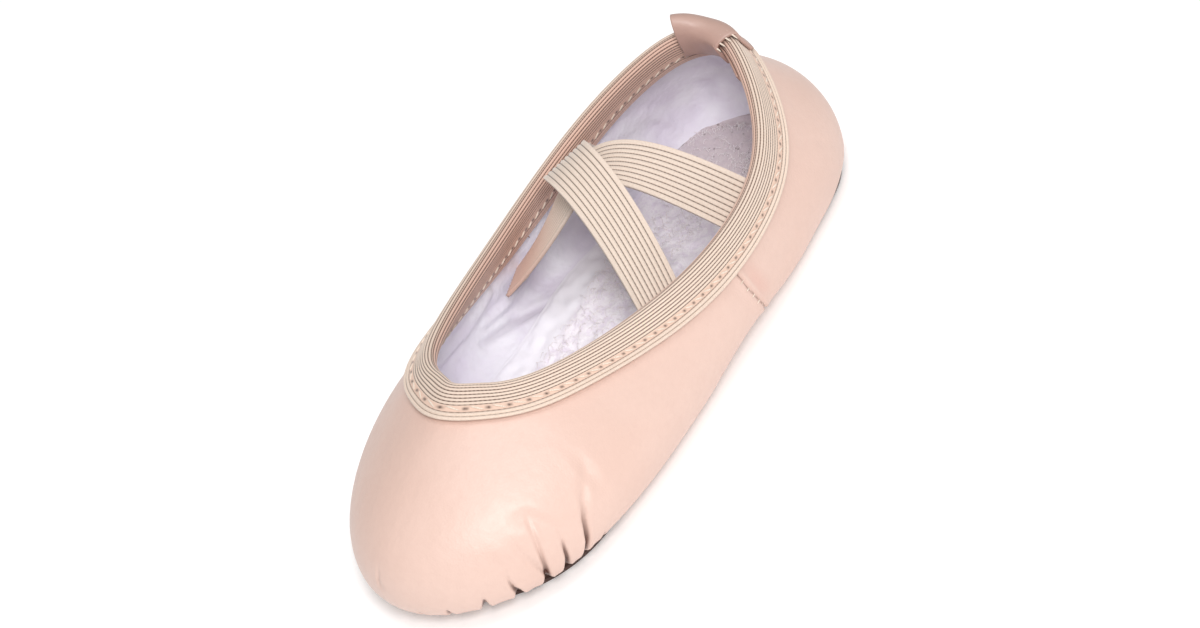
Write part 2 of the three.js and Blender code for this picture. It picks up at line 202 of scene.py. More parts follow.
# Folds of the leather on both sides, each a line of points: station, row, width and depth in
# millimetres, and how much shade is painted down there
GATHERS = [
    [(4.40, 0.58, 4, 0.1, 0), (4.55, 0.73, 4, 0.6, 0), (4.65, 0.9, 2.4, 1.2, 0.5),
     (4.7, 1.2, 2.4, 1.6, 0.9), (4.72, 1.45, 3.4, 1.5, 1), (4.73, 1.98, 4, 1.2, 1)],
    [(4.81, 0.84, 1.5, 0.2, 0), (4.83, 0.95, 1.8, 0.8, 0.6), (4.85, 1.2, 2.6, 1.4, 0.9),
     (4.86, 1.45, 3.6, 1.5, 1), (4.87, 1.98, 4, 1.2, 1)],
    [(4.97, 0.66, 2, 0.1, 0), (4.97, 0.83, 2, 0.6, 0.2), (4.99, 1.14, 2.6, 1.4, 0.9),
     (5, 1.45, 3.8, 1.6, 1), (5, 1.98, 4, 1.3, 1)],
    [(5.13, 0.72, 3, 0.1, 0), (5.06, 0.89, 3, 0.6, 0.1), (5.01, 0.98, 2.4, 0.7, 0.3),
     (4.99, 1.1, 2, 0.6, 0.4)],
    [(5.22, 0.9, 1.4, 0.2, 0), (5.21, 0.98, 1.7, 0.7, 0.5), (5.19, 1.15, 2.6, 1.3, 0.9),
     (5.19, 1.45, 3.8, 1.5, 1), (5.19, 1.98, 4, 1.2, 1)],
    [(5.4, 1, 1.4, 0.1, 0), (5.4, 1.08, 1.7, 0.7, 0.5), (5.41, 1.25, 2.8, 1.2, 0.9),
     (5.42, 1.5, 3.6, 1.3, 1), (5.42, 1.98, 4, 1.1, 1)],
    [(5.66, 1.12, 1.4, 0.1, 0), (5.66, 1.2, 1.7, 0.5, 0.4), (5.66, 1.35, 2.6, 1, 0.8),
     (5.66, 1.98, 3.6, 1.1, 1)],
    [(5.88, 1.15, 1.4, 0.1, 0), (5.88, 1.3, 2, 0.5, 0.4), (5.88, 1.98, 3.4, 1, 1)],
    [(4.55, 1.25, 1.2, 0.1, 0), (4.56, 1.4, 2, 0.7, 0.7), (4.57, 1.98, 3, 1, 1)],
    [(4.38, 1.35, 1.2, 0.1, 0), (4.39, 1.6, 2.4, 0.6, 0.6), (4.4, 1.98, 3, 0.9, 1)],
    [(4.46, 0.51, 5, 0.1, 0), (4.44, 0.68, 6, 0.5, 0), (4.46, 0.86, 5, 0.1, 0)],
    [(5.12, 0.62, 5, 0.1, 0), (4.96, 0.66, 6, 0.7, 0), (4.8, 0.8, 5, 0.4, 0)],
    [(5.3, 0.78, 5, 0.1, 0), (5.22, 0.84, 5, 0.4, 0), (5.12, 0.86, 4, 0.1, 0)],
]
# Creases of the leather on one side alone
CREASES = [
    [(-5.87, 0.82, 1.5, 0.1, 0), (-5.85, 0.9, 2, 0.5, 0.3), (-5.91, 0.95, 1.5, 0.2, 0.1)],
    [(1.55, 0.62, 2, 0.1, 0), (1.5, 0.75, 3, 0.3, 0.1), (1.42, 0.9, 2, 0.1, 0)],
]
# Wrinkles of the lining, in the same columns, the last one the painted shade; a depth above 0 stands up on
# the inside
WRINKLES = [
    [(-3.8, 0.93, 6, 0.4, 0), (-3.5, 0.8, 7, 1.1, 0), (-3.2, 0.62, 6, 0.6, 0)],
    [(-3.3, 1.02, 5, 0.4, 0), (-3.08, 1.1, 7, 0.9, 0), (-2.9, 1.2, 5, 0.3, 0)],
    [(-3.4, 1.35, 5, -0.3, 0.1), (-3.3, 1.43, 5, -0.7, 0.4), (-3.14, 1.63, 5, -0.8, 0.5),
     (-2.97, 2.03, 4, -0.5, 0.4), (-2.85, 2.21, 3, -0.2, 0.2)],
    [(-1.5, 0.7, 6, 0.2, 0), (-1.35, 1, 7, 0.6, 0), (-1.3, 1.3, 6, 0.2, 0)],
    [(-0.8, 0.75, 5, 0.1, 0), (-0.7, 1, 6, -0.5, 0.2), (-0.75, 1.3, 5, -0.1, 0)],
    [(-4.3, 0.6, 5, 0.2, 0), (-4.2, 0.9, 6, 0.7, 0), (-4.1, 1.3, 5, 0.2, 0)],
    [(-2.4, 0.6, 5, 0.1, 0), (-2.3, 0.9, 6, 0.5, 0), (-2.35, 1.3, 5, 0.1, 0)],
]
# Soft bulges, and hollows below 0, on both sides: height in millimetres, then the middle and the width
# along the stations and along the rows
Bulge = namedtuple("Bulge", "height side side_width row row_width")
BULGES = [
    Bulge(1.2, 2.5, 1.5, 1.45, 0.9),
    Bulge(-1.6, 0.8, 2, 1.7, 0.9),
    Bulge(-0.8, 0.1, 1.6, 0.6, 0.8),
    Bulge(-0.6, 5, 2.2, 1.65, 0.8),
]
# Seam between vamp and quarter, on both sides: station and row
SEAM = [(2.73, 0.3), (2.73, 0.49), (2.74, 0.76), (2.71, 1.1), (2.69, 1.32), (2.66, 1.6), (2.64, 1.98)]

CAMERA_AZIMUTH = 50.5
CAMERA_ELEVATION = 39.2
CAMERA_ROLL = -25.4
CAMERA_DISTANCE = 932 * MM
CAMERA_LENS = 116.5
CAMERA_SENSOR = 36
CAMERA_AIM = (-4.1 * MM, -1.1 * MM, 15 * MM)
WORLD_STRENGTH = 0.5
FLOOR_REACH = 6
LAMP_DISTANCE = 1.2
LAMP_AIM = (0, 0, 20 * MM)
# Lamps: name, power in watts, size in metres, azimuth and elevation in degrees
LIGHTS = [
    ("key", 8.4, 0.35, 56, 46),
    ("top", 3.8, 0.6, 80, 78),
]


def mix(a, b, share):
    return a + (b - a) * share


def smooth(low, high, value):
    """Soft step from 0 at low to 1 at high"""
    share = np.clip((value - low) / (high - low), 0, 1)
    return share * share * (3 - 2 * share)


def hump(distance, width):
    """Soft bell: 1 at no distance, 0 from half the width on"""
    return 1 - smooth(0, width / 2, np.abs(distance))


def unit(vectors):
    return vectors / np.maximum(np.linalg.norm(vectors, axis=-1, keepdims=True), TINY)


def run_lengths(line):
    """Length along a line of points at each point, from 0"""
    return np.concatenate([[0], np.cumsum(np.linalg.norm(np.diff(line, axis=0), axis=-1))])


class Loop:
    """Smooth closed curve through one value per section, mirrored to the other side of the shoe"""

    def __init__(self, half, side=1):
        values = list(half) + [side * value for value in half[-2:0:-1]]
        count = len(values)
        slopes = [0.0] * count
        for _ in range(40):
            for i in range(count):
                ahead = (i + 1) % count
                slopes[i] = (3 * (values[ahead] - values[i - 1]) - slopes[i - 1] - slopes[ahead]) / 4
        self.values = np.array(values, float)
        self.slopes = np.array(slopes)

    def __call__(self, station):
        count = len(self.values)
        place = np.mod(station, count)
        i = np.floor(place).astype(int) % count
        j = (i + 1) % count
        f = place - np.floor(place)
        bend = self.slopes[i] * (1 - f) - self.slopes[j] * f
        return mix(self.values[i], self.values[j], f * f * (3 - 2 * f)) + f * (1 - f) * bend


COLLAR = [
    Loop([s.collar_x * HALF_LENGTH for s in SECTIONS]),
    Loop([s.collar_y * HALF_WIDTH for s in SECTIONS], -1),
    Loop([s.collar_rise * mix(HEEL_HEIGHT, INSTEP_HEIGHT, i / TOE) for i, s in enumerate(SECTIONS)]),
]
SWELL = [
    Loop([s.swell_x * HALF_LENGTH for s in SECTIONS]),
    Loop([s.swell_y * HALF_WIDTH for s in SECTIONS], -1),
    Loop([s.swell_rise * SWELL_HEIGHT for s in SECTIONS]),
]
LEAN = Loop([radians(s.lean) for s in SECTIONS])
TUCK = Loop([s.tuck * EDGE_TUCK for s in SECTIONS])


def point_on(loops, station):
    return np.stack([loop(station) for loop in loops], -1)


def underside(x):
    """Height of the shoe's underside: flat over both pads, raised at the arch and ahead of the pads"""
    arch = np.clip((x - ARCH_BACK) / (ARCH_FRONT - ARCH_BACK), 0, 1)
    toe = np.clip((x - SPRING_START) / (HALF_LENGTH - SPRING_START), 0, 1)
    return UNDERSIDE + ARCH_LIFT * np.sin(pi * arch) ** 2 + TOE_SPRING * toe * toe


def bezier(points, share):
    a, b, c, d = points
    s = share[..., None]
    r = 1 - s
    return r ** 3 * a + 3 * r * r * s * b + 3 * r * s * s * c + s ** 3 * d


def profile(station):
    """Handles of the wall and of the turn under the foot, and the tread edge, at each station"""
    top = point_on(COLLAR, station)
    widest = point_on(SWELL, station)
    run = point_on(SWELL, station + STEP) - point_on(SWELL, station - STEP)
    outward = unit(np.stack([-run[..., 1], run[..., 0], 0 * run[..., 0]], -1))
    flat = unit((widest - top) * (1 - UP))
    reach = np.linalg.norm(widest - top, axis=-1)[..., None]
    lean = LEAN(station)[..., None]
    start = flat * np.sin(lean) - UP * np.cos(lean)
    tuck = TUCK(station)[..., None]
    tread = widest - outward * tuck
    tread[..., 2] = underside(tread[..., 0])
    drop = UP * (tread - widest)[..., 2:]
    wall = (top, top + start * WALL_PULL * reach, widest + UP * SWELL_PULL * reach, widest)
    turn = (widest, widest + ROUND * drop, tread + outward * ROUND * tuck, tread)
    return wall, turn, tread


def skin(station, row):
    """Plain skin at a row from 0 (collar) through 1 (widest), 2 (tread edge) to 3 (keel line)"""
    wall, turn, tread = profile(station)
    x = tread[..., 0] * mix(1, KEEL_SHARE, row - 2)
    floor = np.stack([x, tread[..., 1] * (3 - row), underside(x)], -1)
    low = bezier(turn, np.clip(row - 1, 0, 1))
    high = bezier(wall, np.clip(row, 0, 1))
    at = row[..., None]
    return np.where(at <= 1, high, np.where(at <= 2, low, floor))


def skin_normal(station, row):
    """Outward direction of the skin"""
    down = skin(station, np.clip(row + STEP, 0, 2)) - skin(station, np.clip(row - STEP, 0, 2 - STEP))
    along = skin(station + STEP, row) - skin(station - STEP, row)
    turned = unit(np.cross(along, down))
    x = skin(station, row)[..., 0]
    slope = (underside(x + STEP * MM) - underside(x - STEP * MM)) / (2 * STEP * MM)
    level = unit(np.stack([slope, 0 * x, 0 * x - 1], -1))
    return np.where(row[..., None] >= 2, level, turned)


PER_STATION = 30
TABLE_STATIONS = np.linspace(0, ROUND_TRIP, PER_STATION * ROUND_TRIP + 1)
TABLE_ROWS = np.linspace(0, 1, 65)


def wall_lengths():
    """Length down the wall from the collar, for a table of stations and rows"""
    stations, rows = np.meshgrid(TABLE_STATIONS, TABLE_ROWS, indexing="ij")
    steps = np.linalg.norm(np.diff(skin(stations, rows), axis=1), axis=-1)
    return np.concatenate([np.zeros((len(steps), 1)), np.cumsum(steps, 1)], 1)


WALL_LENGTHS = wall_lengths()


def row_at_depth(station, depth):
    """Skin row that lies a given depth below the collar, measured along the wall"""
    place = np.mod(station, ROUND_TRIP) * PER_STATION
    low = np.floor(place).astype(int)
    share = (place - low)[..., None]
    lengths = mix(WALL_LENGTHS[low], WALL_LENGTHS[low + 1], share)
    last = len(TABLE_ROWS) - 1
    after = np.clip((lengths <= depth[..., None]).sum(-1), 1, last)
    behind = np.take_along_axis(lengths, after[..., None] - 1, -1)[..., 0]
    ahead = np.take_along_axis(lengths, after[..., None], -1)[..., 0]
    return np.clip((after - 1 + (depth - behind) / (ahead - behind)) / last, 0, 1)


def place_at(station, depth, out):
    """Point at a depth below the collar and a distance out from the skin; below zero it stands above"""
    row = row_at_depth(station, np.maximum(depth, 0))
    point = skin(station, row) + skin_normal(station, row) * out[..., None]
    rise = unit(skin(station, row + STEP) - skin(station, row)) * np.minimum(depth, 0)[..., None]
    return point + rise


def even_stations(loops, density=None):
    """Function from a share of the way round a loop to its station, with finer steps where it is dense"""
    stations = np.linspace(0, ROUND_TRIP, 200 * ROUND_TRIP + 1)
    steps = np.linalg.norm(np.diff(point_on(loops, stations), axis=0), axis=-1)
    if density:
        steps = steps * density(stations[1:])
    lengths = np.concatenate([[0], np.cumsum(steps)])
    return lambda share: np.interp(share * lengths[-1], lengths, stations), lengths[-1]


station_on_collar, COLLAR_LENGTH = even_stations(COLLAR)


def side_of(station):
    """Station folded to one side of the shoe, from 0 at the heel to the toe"""
    return np.abs(np.mod(station + TOE, ROUND_TRIP) - TOE)


def past_heel(station):
    """0 round the heel and 1 along the rest of the shoe"""
    return smooth(0.9, 1.9, side_of(station))


def nearest_on(points, line):
    """Distance of each point from a broken line, and how far along the line its nearest place lies"""
    steps = np.linalg.norm(np.diff(line, axis=0), axis=-1)
    count = len(steps)
    best = np.full(len(points), np.inf)
    share = np.zeros(len(points))
    for i in range(count):
        run = line[i + 1] - line[i]
        at = np.clip((points - line[i]) @ run / steps[i] ** 2, 0, 1)
        distance = np.linalg.norm(points - line[i] - at[:, None] * run, axis=-1)
        share = np.where(distance < best, (i + at) / count, share)
        best = np.minimum(distance, best)
    return best, share


def line_on_skin(nodes, count=16):
    """Line of points over the skin through rows of station and row"""
    steps = np.linspace(0, len(nodes) - 1, count + 1)
    order = np.arange(len(nodes))
    stations, rows = np.array([node[:2] for node in nodes], float).T
    return skin(np.interp(steps, order, stations), np.interp(steps, order, rows))


def fold_relief(points, folds):
    """How far the folds draw the surface in at each point, and how much shade is painted on each point"""
    relief = np.zeros(len(points))
    shade = np.zeros(len(points))
    for nodes in folds:
        distance, share = nearest_on(points, line_on_skin(nodes))
        order = np.linspace(0, 1, len(nodes))
        width, depth, dark = [np.interp(share, order, column) for column in np.array(nodes).T[2:]]
        width, depth = width * MM, depth * MM
        trough = hump(distance, width)
        ridge = hump(distance, 2.2 * width) - trough
        relief = relief - depth * trough + 0.22 * depth * ridge
        shade = np.maximum(shade, dark * (1 - smooth(0.1, 0.45, distance / width)))
    return relief, shade


def grid(name, columns, rows, place, closed=False):
    """Piece from a grid of points, each where place(around, across) puts it; both shares run from 0 to 1"""
    form = bmesh.new()
    form.loops.layers.uv.new("UVMap")
    bmesh.ops.create_grid(form, x_segments=columns, y_segments=rows, size=0.5, calc_uvs=True)
    shares = np.array([vert.co[:2] for vert in form.verts]) + 0.5
    points, marks = place(shares[:, 0], shares[:, 1])
    layers = {mark: form.verts.layers.float.new(mark) for mark in marks}
    for vert, point in zip(form.verts, points):
        vert.co = point
    for mark, layer in layers.items():
        for vert, value in zip(form.verts, marks[mark]):
            vert[layer] = value
    bmesh.ops.remove_doubles(form, verts=form.verts, dist=1e-7)
    if closed:
        bmesh.ops.recalc_face_normals(form, faces=form.faces)
    return finish_form(name, form)


def finish_form(name, form):
    for face in form.faces:
        face.smooth = True
    mesh = bpy.data.meshes.new(name)
    form.to_mesh(mesh)
    form.free()
    piece = bpy.data.objects.new(name, mesh)
    bpy.context.scene.collection.objects.link(piece)
    return piece


def thicken(piece, thickness, offset=-1):
    wall = piece.modifiers.new("wall", "SOLIDIFY")
    wall.thickness = thickness
    wall.offset = offset
    wall.use_even_offset = True
    return piece


def dress(piece, slot, finish, *nodes):
    """Gives a piece its finish and the body that it rides on, and hides the nodes that it stands for; the
    slot is not used
    """
    piece.data.materials.clear()
    piece.data.materials.append(finish)
    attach(piece, "root")
    if nodes:
        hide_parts(*nodes)


def stitches(name, spans, thickness, smoothness=2):
    """Piece of thread: one rounded stitch from the first to the second point of each span"""
    form = bmesh.new()
    for start, end in spans:
        start, end = Vector(start), Vector(end)
        run = end - start
        turn = run.to_track_quat("Z", "Y").to_matrix().to_4x4()
        size = Matrix.Diagonal((thickness / 2, thickness / 2, run.length / 2, 1))
        bmesh.ops.create_icosphere(form, subdivisions=smoothness, radius=1,
                                   matrix=Matrix.Translation((start + end) / 2) @ turn @ size)
    return finish_form(name, form)


def skin_points(stations, rows, out):
    """Points a distance out from the skin, for arrays of stations and rows"""
    stations, rows = np.asarray(stations, float), np.asarray(rows, float)
    return skin(stations, rows) + skin_normal(stations, rows) * out


class Value:
    """Number socket of a material, so that its maths reads as a Python expression"""

    def __init__(self, paint, socket):
        self.paint = paint
        self.socket = socket

    def maths(self, operation, *others):
        node = self.paint.node("ShaderNodeMath", {"operation": operation},
                               dict(enumerate((self, *others))))
        return Value(self.paint, node.outputs[0])

    def __add__(self, other):
        return self.maths("ADD", other)

    def __sub__(self, other):
        return self.maths("SUBTRACT", other)

    def __mul__(self, other):
        return self.maths("MULTIPLY", other)

    def __truediv__(self, other):
        return self.maths("DIVIDE", other)

    def __rsub__(self, other):
        return (self * -1) + other

    __radd__ = __add__
    __rmul__ = __mul__

    def clamp(self):
        return self.maths("MINIMUM", 1).maths("MAXIMUM", 0)

    def wave(self):
        """0 to 1 and back once for each whole number"""
        return (self * (2 * pi)).maths("COSINE") * -0.5 + 0.5

    def step(self, low, high):
        """Soft step from 0 at low to 1 at high"""
        node = self.paint.node("ShaderNodeMapRange", {"interpolation_type": "SMOOTHSTEP"},
                               {"Value": self, "From Min": low, "From Max": high})
        return Value(self.paint, node.outputs[0])


class Finish:
    """Material under construction around one Principled shader"""

    def __init__(self, name, **constants):
        self.material = bpy.data.materials.new(name)
        self.material.use_nodes = True
        self.tree = self.material.node_tree
        self.shader = self.tree.nodes["Principled BSDF"]
        self.places = {}
        self.bumps = None
        self.set(**constants)

    def set(self, **sockets):
        """Sets or links the shader's own sockets, named with underscores"""
        for name, value in sockets.items():
            self.feed(self.shader.inputs[name.replace("_", " ")], value)

    def feed(self, socket, value):
        if isinstance(value, Value):
            self.tree.links.new(value.socket, socket)
        elif isinstance(value, bpy.types.NodeSocket):
            self.tree.links.new(value, socket)
        elif hasattr(value, "__len__") and len(value) == 3 and socket.type == "RGBA":
            socket.default_value = (*value, 1)
        else:
            socket.default_value = value

    def node(self, kind, settings=None, sockets=None):
        node = self.tree.nodes.new(kind)
        for name, value in (settings or {}).items():
            setattr(node, name, value)
        for name, value in (sockets or {}).items():
            self.feed(node.inputs[name], value)
        return node

    def place(self, kind):
        """Coordinates: Object or UV"""
        if kind not in self.places:
            self.places[kind] = self.node("ShaderNodeTexCoord").outputs[kind]
        return self.places[kind]

    def across(self):
        """The piece's own coordinates, one number each"""
        parts = self.node("ShaderNodeSeparateXYZ", {}, {0: self.place("UV")})
        return [Value(self, socket) for socket in parts.outputs]

    def mark(self, name):
        return Value(self, self.node("ShaderNodeAttribute", {"attribute_name": name}).outputs["Fac"])

    def noise(self, size, detail=3, roughness=0.5, stretch=(1, 1, 1)):
        """Cloudy noise from about 0 to 1 with features of the given size in metres"""
        vector = self.node("ShaderNodeMapping", {}, {"Vector": self.place("Object"), "Scale": stretch})
        node = self.node("ShaderNodeTexNoise", {}, {
            "Vector": vector.outputs[0], "Scale": 1 / size, "Detail": detail, "Roughness": roughness})
        return Value(self, node.outputs[0])

    def cells(self, size):
        """Distance from the nearest of many scattered points, 0 to about 1"""
        node = self.node("ShaderNodeTexVoronoi", {}, {"Vector": self.place("Object"), "Scale": 1 / size})
        return Value(self, node.outputs["Distance"])

    def blend(self, factor, first, second):
        """Colour between two colours"""
        node = self.node("ShaderNodeMix", {"data_type": "RGBA"}, {0: factor, 6: first, 7: second})
        return node.outputs[2]

    def bump(self, height, distance):
        """Lays relief of a real height, in metres, over the relief laid so far"""
        sockets = {"Height": height, "Distance": distance, "Strength": 1}
        if self.bumps is not None:
            sockets["Normal"] = self.bumps
        self.bumps = self.node("ShaderNodeBump", {}, sockets).outputs[0]
        self.feed(self.shader.inputs["Normal"], self.bumps)


def shaded(colour, *shares):
    """Colour with each channel taken down to a share"""
    return tuple(channel * share for channel, share in zip(colour, shares))


def colour_prop(name, description, default):
    return FloatVectorProperty(name=name, description=description, subtype="COLOR", size=3,
                               min=0, max=1, default=default)


def length_prop(name, description, default):
    return FloatProperty(name=name, description=description, subtype="DISTANCE", unit="LENGTH",
                         min=0, default=default)


class SlipperSizes(bpy.types.PropertyGroup):
    leather: length_prop("Leather", "Thickness of the upper leather", 0.9 * MM)
    lining: length_prop("Lining", "Thickness of the lining cloth", 0.35 * MM)
    rib_pitch: length_prop("Rib pitch", "Distance between the binding's ribs", 0.86 * MM)
    rib_height: length_prop("Rib height", "Height of the binding's ribs", 0.22 * MM)
    strap_ribs: IntProperty(name="Strap ribs", description="Ribs across one strap", min=1, default=10)
    strap_rib_height: length_prop("Strap rib height", "Height of the straps' ribs", 0.35 * MM)
    knit_pitch: length_prop("Knit pitch", "Distance between knit stitches along a rib", 0.8 * MM)
    cord_height: length_prop("Cord height", "Height of the binding's corded hem", 0.5 * MM)
    stitch_pitch: length_prop("Stitch pitch", "Distance between the binding's stitches", 3.3 * MM)
    sole_stitch_pitch: length_prop("Sole stitch pitch", "Distance between the sole's stitches", 3.6 * MM)
    sole_margin: length_prop("Sole margin", "Distance from the sole's edge to its first stitch row", 2.4 * MM)
    sole_row_gap: length_prop("Sole row gap", "Distance between the sole's two stitch rows", 3.4 * MM)
    seam_pitch: length_prop("Seam pitch", "Distance between the stitches of the seams", 2.6 * MM)
    topstitch_gap: length_prop("Topstitch gap", "Distance from the arch seam to its stitches", 2.2 * MM)
    thread: length_prop("Thread", "Thickness of the sewing thread", 0.45 * MM)


class SlipperColours(bpy.types.PropertyGroup):
    leather: colour_prop("Leather", "Pink leather of the upper", (0.72, 0.515, 0.44))
    # Painted shade: the colour of the leather down in its gathers, creases and grooves
    leather_fold: colour_prop("Leather fold", "Leather down in a fold", (0.1, 0.035, 0.022))
    lining: colour_prop("Lining", "White cloth lining", (0.95, 0.93, 0.99))
    fleece: colour_prop("Fleece", "Insole's brushed face", (0.99, 0.95, 1.0))
    fleece_worn: colour_prop("Fleece, worn", "Insole under the heel", (0.5, 0.4, 0.41))
    fibre: colour_prop("Fibre", "Loose fibres of the fleece", (0.97, 0.94, 0.97))
    elastic: colour_prop("Elastic", "Ribs of the binding", (0.76, 0.62, 0.52))
    # Painted shade down the grooves between the ribs
    elastic_groove: colour_prop("Elastic groove", "Grooves between the ribs", (0.1, 0.045, 0.028))
    # Painted shade over the binding's inner leg and the rear strap's far end
    elastic_inner: colour_prop("Elastic, inside", "Binding inside the shoe", (0.7, 0.46, 0.37))
    strap: colour_prop("Strap", "Ribs of the straps", (0.74, 0.62, 0.53))
    suede: colour_prop("Suede", "Napped sole leather", (0.72, 0.52, 0.43))
    # The pads' dark side: a burnished edge darkened further with painted shade
    sole_edge: colour_prop("Sole edge", "Dark edge of the sole pads", (0.06, 0.025, 0.018))
    tab: colour_prop("Tab leather", "Leather of the heel tab", (0.48, 0.32, 0.27))
    facing: colour_prop("Facing leather", "Leather facing inside the heel", (0.42, 0.26, 0.21))
    thread: colour_prop("Thread", "Cream sewing thread", (0.82, 0.72, 0.62))
    floor: colour_prop("Floor", "Studio floor", (0.94, 0.94, 0.94))


def settings(context):
    """Sizes and colours of the slipper; each colour as three numbers"""
    colours = context.scene.slipper_colours
    plain = {name: tuple(getattr(colours, name)) for name in colours.__annotations__}
    return context.scene.slipper_sizes, SimpleNamespace(**plain)


def leather_finish(name, colour, fold):
    paint = Finish(name, Coat_Roughness=0.3, Coat_IOR=1.45)
    cloud = paint.noise(26 * MM, 2)
    fine = paint.noise(1.6 * MM, 4)
    soft = paint.noise(7 * MM, 2)
    base = paint.blend(cloud.step(0.3, 0.7), shaded(colour, 0.97, 0.95, 0.94), colour)
    base = paint.blend(fine.step(0.35, 0.75) * 0.25, base, shaded(colour, 0.93, 0.9, 0.89))
    # Pinker tone of the leather beside the side seam, and painted shade on the heel tab's inner side
    base = paint.blend(paint.mark("blush").clamp() * 0.45, base, shaded(colour, 0.93, 0.74, 0.72))
    # Painted shade down in the gathers, creases, side seams and keel groove
    base = paint.blend(paint.mark("fold").step(0.1, 0.8), base, fold)
    paint.set(Base_Color=base, Roughness=fine * 0.14 + 0.4, Coat_Weight=cloud * 0.1 + 0.1)
    paint.bump(paint.cells(0.55 * MM), 0.03 * MM)
    paint.bump(fine, 0.05 * MM)
    paint.bump(soft, 0.35 * MM)
    return paint.material


def lining_finish(colour):
    paint = Finish("lining cloth", Sheen_Weight=0.2)
    u, v, _ = paint.across()
    cloud = paint.noise(10 * MM, 3)
    base = paint.blend(cloud.step(0.3, 0.7), shaded(colour, 0.9, 0.86, 0.92), colour)
    # Painted shade in the troughs of the wrinkles
    base = paint.blend(paint.mark("fold").clamp(), base, shaded(colour, 0.55, 0.5, 0.56))
    weave = (u * 900).wave() * (v * 150).wave()
    paint.set(Base_Color=base, Roughness=cloud * 0.1 + 0.36)
    paint.bump(weave, 0.03 * MM)
    paint.bump(paint.noise(5 * MM, 2), 0.8 * MM)
    paint.bump(paint.noise(1.8 * MM, 2), 0.1 * MM)
    return paint.material


def fleece_finish(colour, worn, cloth):
    paint = Finish("fleece", Sheen_Weight=0.4, Sheen_Roughness=0.6)
    tuft = paint.noise(2 * MM, 4, 0.65)
    patch = paint.noise(8 * MM, 3)
    smooth_edge = paint.mark("cloth").clamp()
    dirt = (paint.mark("wear") + (patch - 0.5) * 0.9).step(0.2, 0.8)
    speck = (1 - paint.cells(2.2 * MM).step(0.08, 0.22)) * paint.mark("wear")
    base = paint.blend(tuft.step(0.35, 0.62), shaded(colour, 0.88, 0.84, 0.9), colour)
    base = paint.blend(dirt * 0.75, base, worn)
    base = paint.blend(speck * 0.7, base, shaded(worn, 0.3, 0.25, 0.25))
    base = paint.blend(smooth_edge, base, cloth)
    # Painted shade in the crease along the insole's edge round the heel
    base = paint.blend(paint.mark("fold").clamp(), base, shaded(worn, 0.4, 0.3, 0.3))
    paint.set(Base_Color=base, Roughness=tuft * 0.1 + 0.88)
    paint.bump(tuft * (1 - smooth_edge * 0.85), 0.6 * MM)
    return paint.material


def elastic_finish(name, colour, groove, inner, along):
    """Ribbed knit elastic with painted shade down its grooves, in its stitch holes and over its inner leg;
    the groove mark is 1 down between two ribs, along counts the knit stitches
    """
    paint = Finish(name, Sheen_Weight=0.25)
    u, *_ = paint.across()
    knit = (u * along).wave()
    depth = paint.mark("groove").clamp()
    inside = paint.mark("inner").clamp()
    # Painted shade down the grooves between ribs and along the cords' edges
    shade = depth.step(0.3, 0.8) * (knit * 0.3 + 0.7)
    fibre = paint.noise(0.4 * MM, 2)
    base = paint.blend(fibre.step(0.3, 0.7), shaded(colour, 0.93, 0.9, 0.88), colour)
    # Painted shade over the inner leg and the rear strap's far end
    base = paint.blend(inside, base, inner)
    base = paint.blend(paint.mark("band").clamp(), base, shaded(colour, 0.96, 0.84, 0.8))
    base = paint.blend(shade, base, groove)
    # Painted shade in the stitch holes
    base = paint.blend(paint.mark("fold").clamp(), base, shaded(groove, 0.35, 0.3, 0.3))
    paint.set(Base_Color=base, Roughness=fibre * 0.1 + 0.72)
    paint.bump(knit, 0.02 * MM)
    paint.bump(fibre, 0.05 * MM)
    return paint.material


def suede_finish(colour, edge):
    paint = Finish("suede", Sheen_Weight=0.4, Sheen_Roughness=0.5)
    nap = paint.noise(0.6 * MM, 4, 0.7)
    brushed = paint.noise(12 * MM, 3, stretch=(0.5, 1, 1))
    base = paint.blend(brushed.step(0.3, 0.7), shaded(colour, 0.88, 0.84, 0.82), colour)
    base = paint.blend(nap.step(0.35, 0.65) * 0.5, base, shaded(colour, 0.84, 0.8, 0.78))
    # Painted shade in the sunk stitch grooves
    base = paint.blend(paint.mark("fold").clamp(), base, shaded(colour, 0.3, 0.22, 0.2))
    # The pad's side: a burnished edge darkened further with painted shade
    base = paint.blend(paint.mark("edge").clamp(), base, edge)
    paint.set(Base_Color=base, Roughness=nap * 0.08 + 0.9)
    paint.bump(nap, 0.15 * MM)
    return paint.material


def thread_finish(name, colour):
    paint = Finish(name, Sheen_Weight=0.3)
    ply = paint.noise(0.25 * MM, 2)
    base = paint.blend(ply.step(0.35, 0.65), shaded(colour, 0.86, 0.8, 0.76), colour)
    paint.set(Base_Color=base, Roughness=ply * 0.1 + 0.6)
    paint.bump(ply, 0.08 * MM)
    return paint.material


def floor_finish(colour):
    paint = Finish("studio floor", Specular_IOR_Level=0.1,
                   Emission_Color=(1, 1, 1), Emission_Strength=0.15)
    cloud = paint.noise(0.2, 2)
    base = paint.blend(cloud, shaded(colour, 0.995, 0.995, 0.995), colour)
    paint.set(Base_Color=base, Roughness=cloud * 0.02 + 0.9)
    return paint.material


def upper_density(station):
    """More columns where the gathers and the side seams are"""
    side = side_of(station)
    return 1 + 2.5 * smooth(4.1, 4.4, side) + 2.2 * hump(side - SEAM_STATION, 0.36)


station_on_swell, _ = even_stations(SWELL, upper_density)


def upper_row(share, top):
    """Skin row for a share of the way down the upper"""
    wall = mix(top, 1, share / WALL_SHARE)
    turn = 1 + (share - WALL_SHARE) / (TURN_SHARE - WALL_SHARE)
    floor = 2 + (share - TURN_SHARE) / (1 - TURN_SHARE)
    return np.where(share < WALL_SHARE, wall, np.where(share < TURN_SHARE, turn, floor))


def slack_relief(side, row):
    """Height of the soft bulges of the leather and the lining, station folded to one side"""
    return MM * sum(bulge.height * hump(side - bulge.side, bulge.side_width)
                    * hump(row - bulge.row, bulge.row_width) for bulge in BULGES)


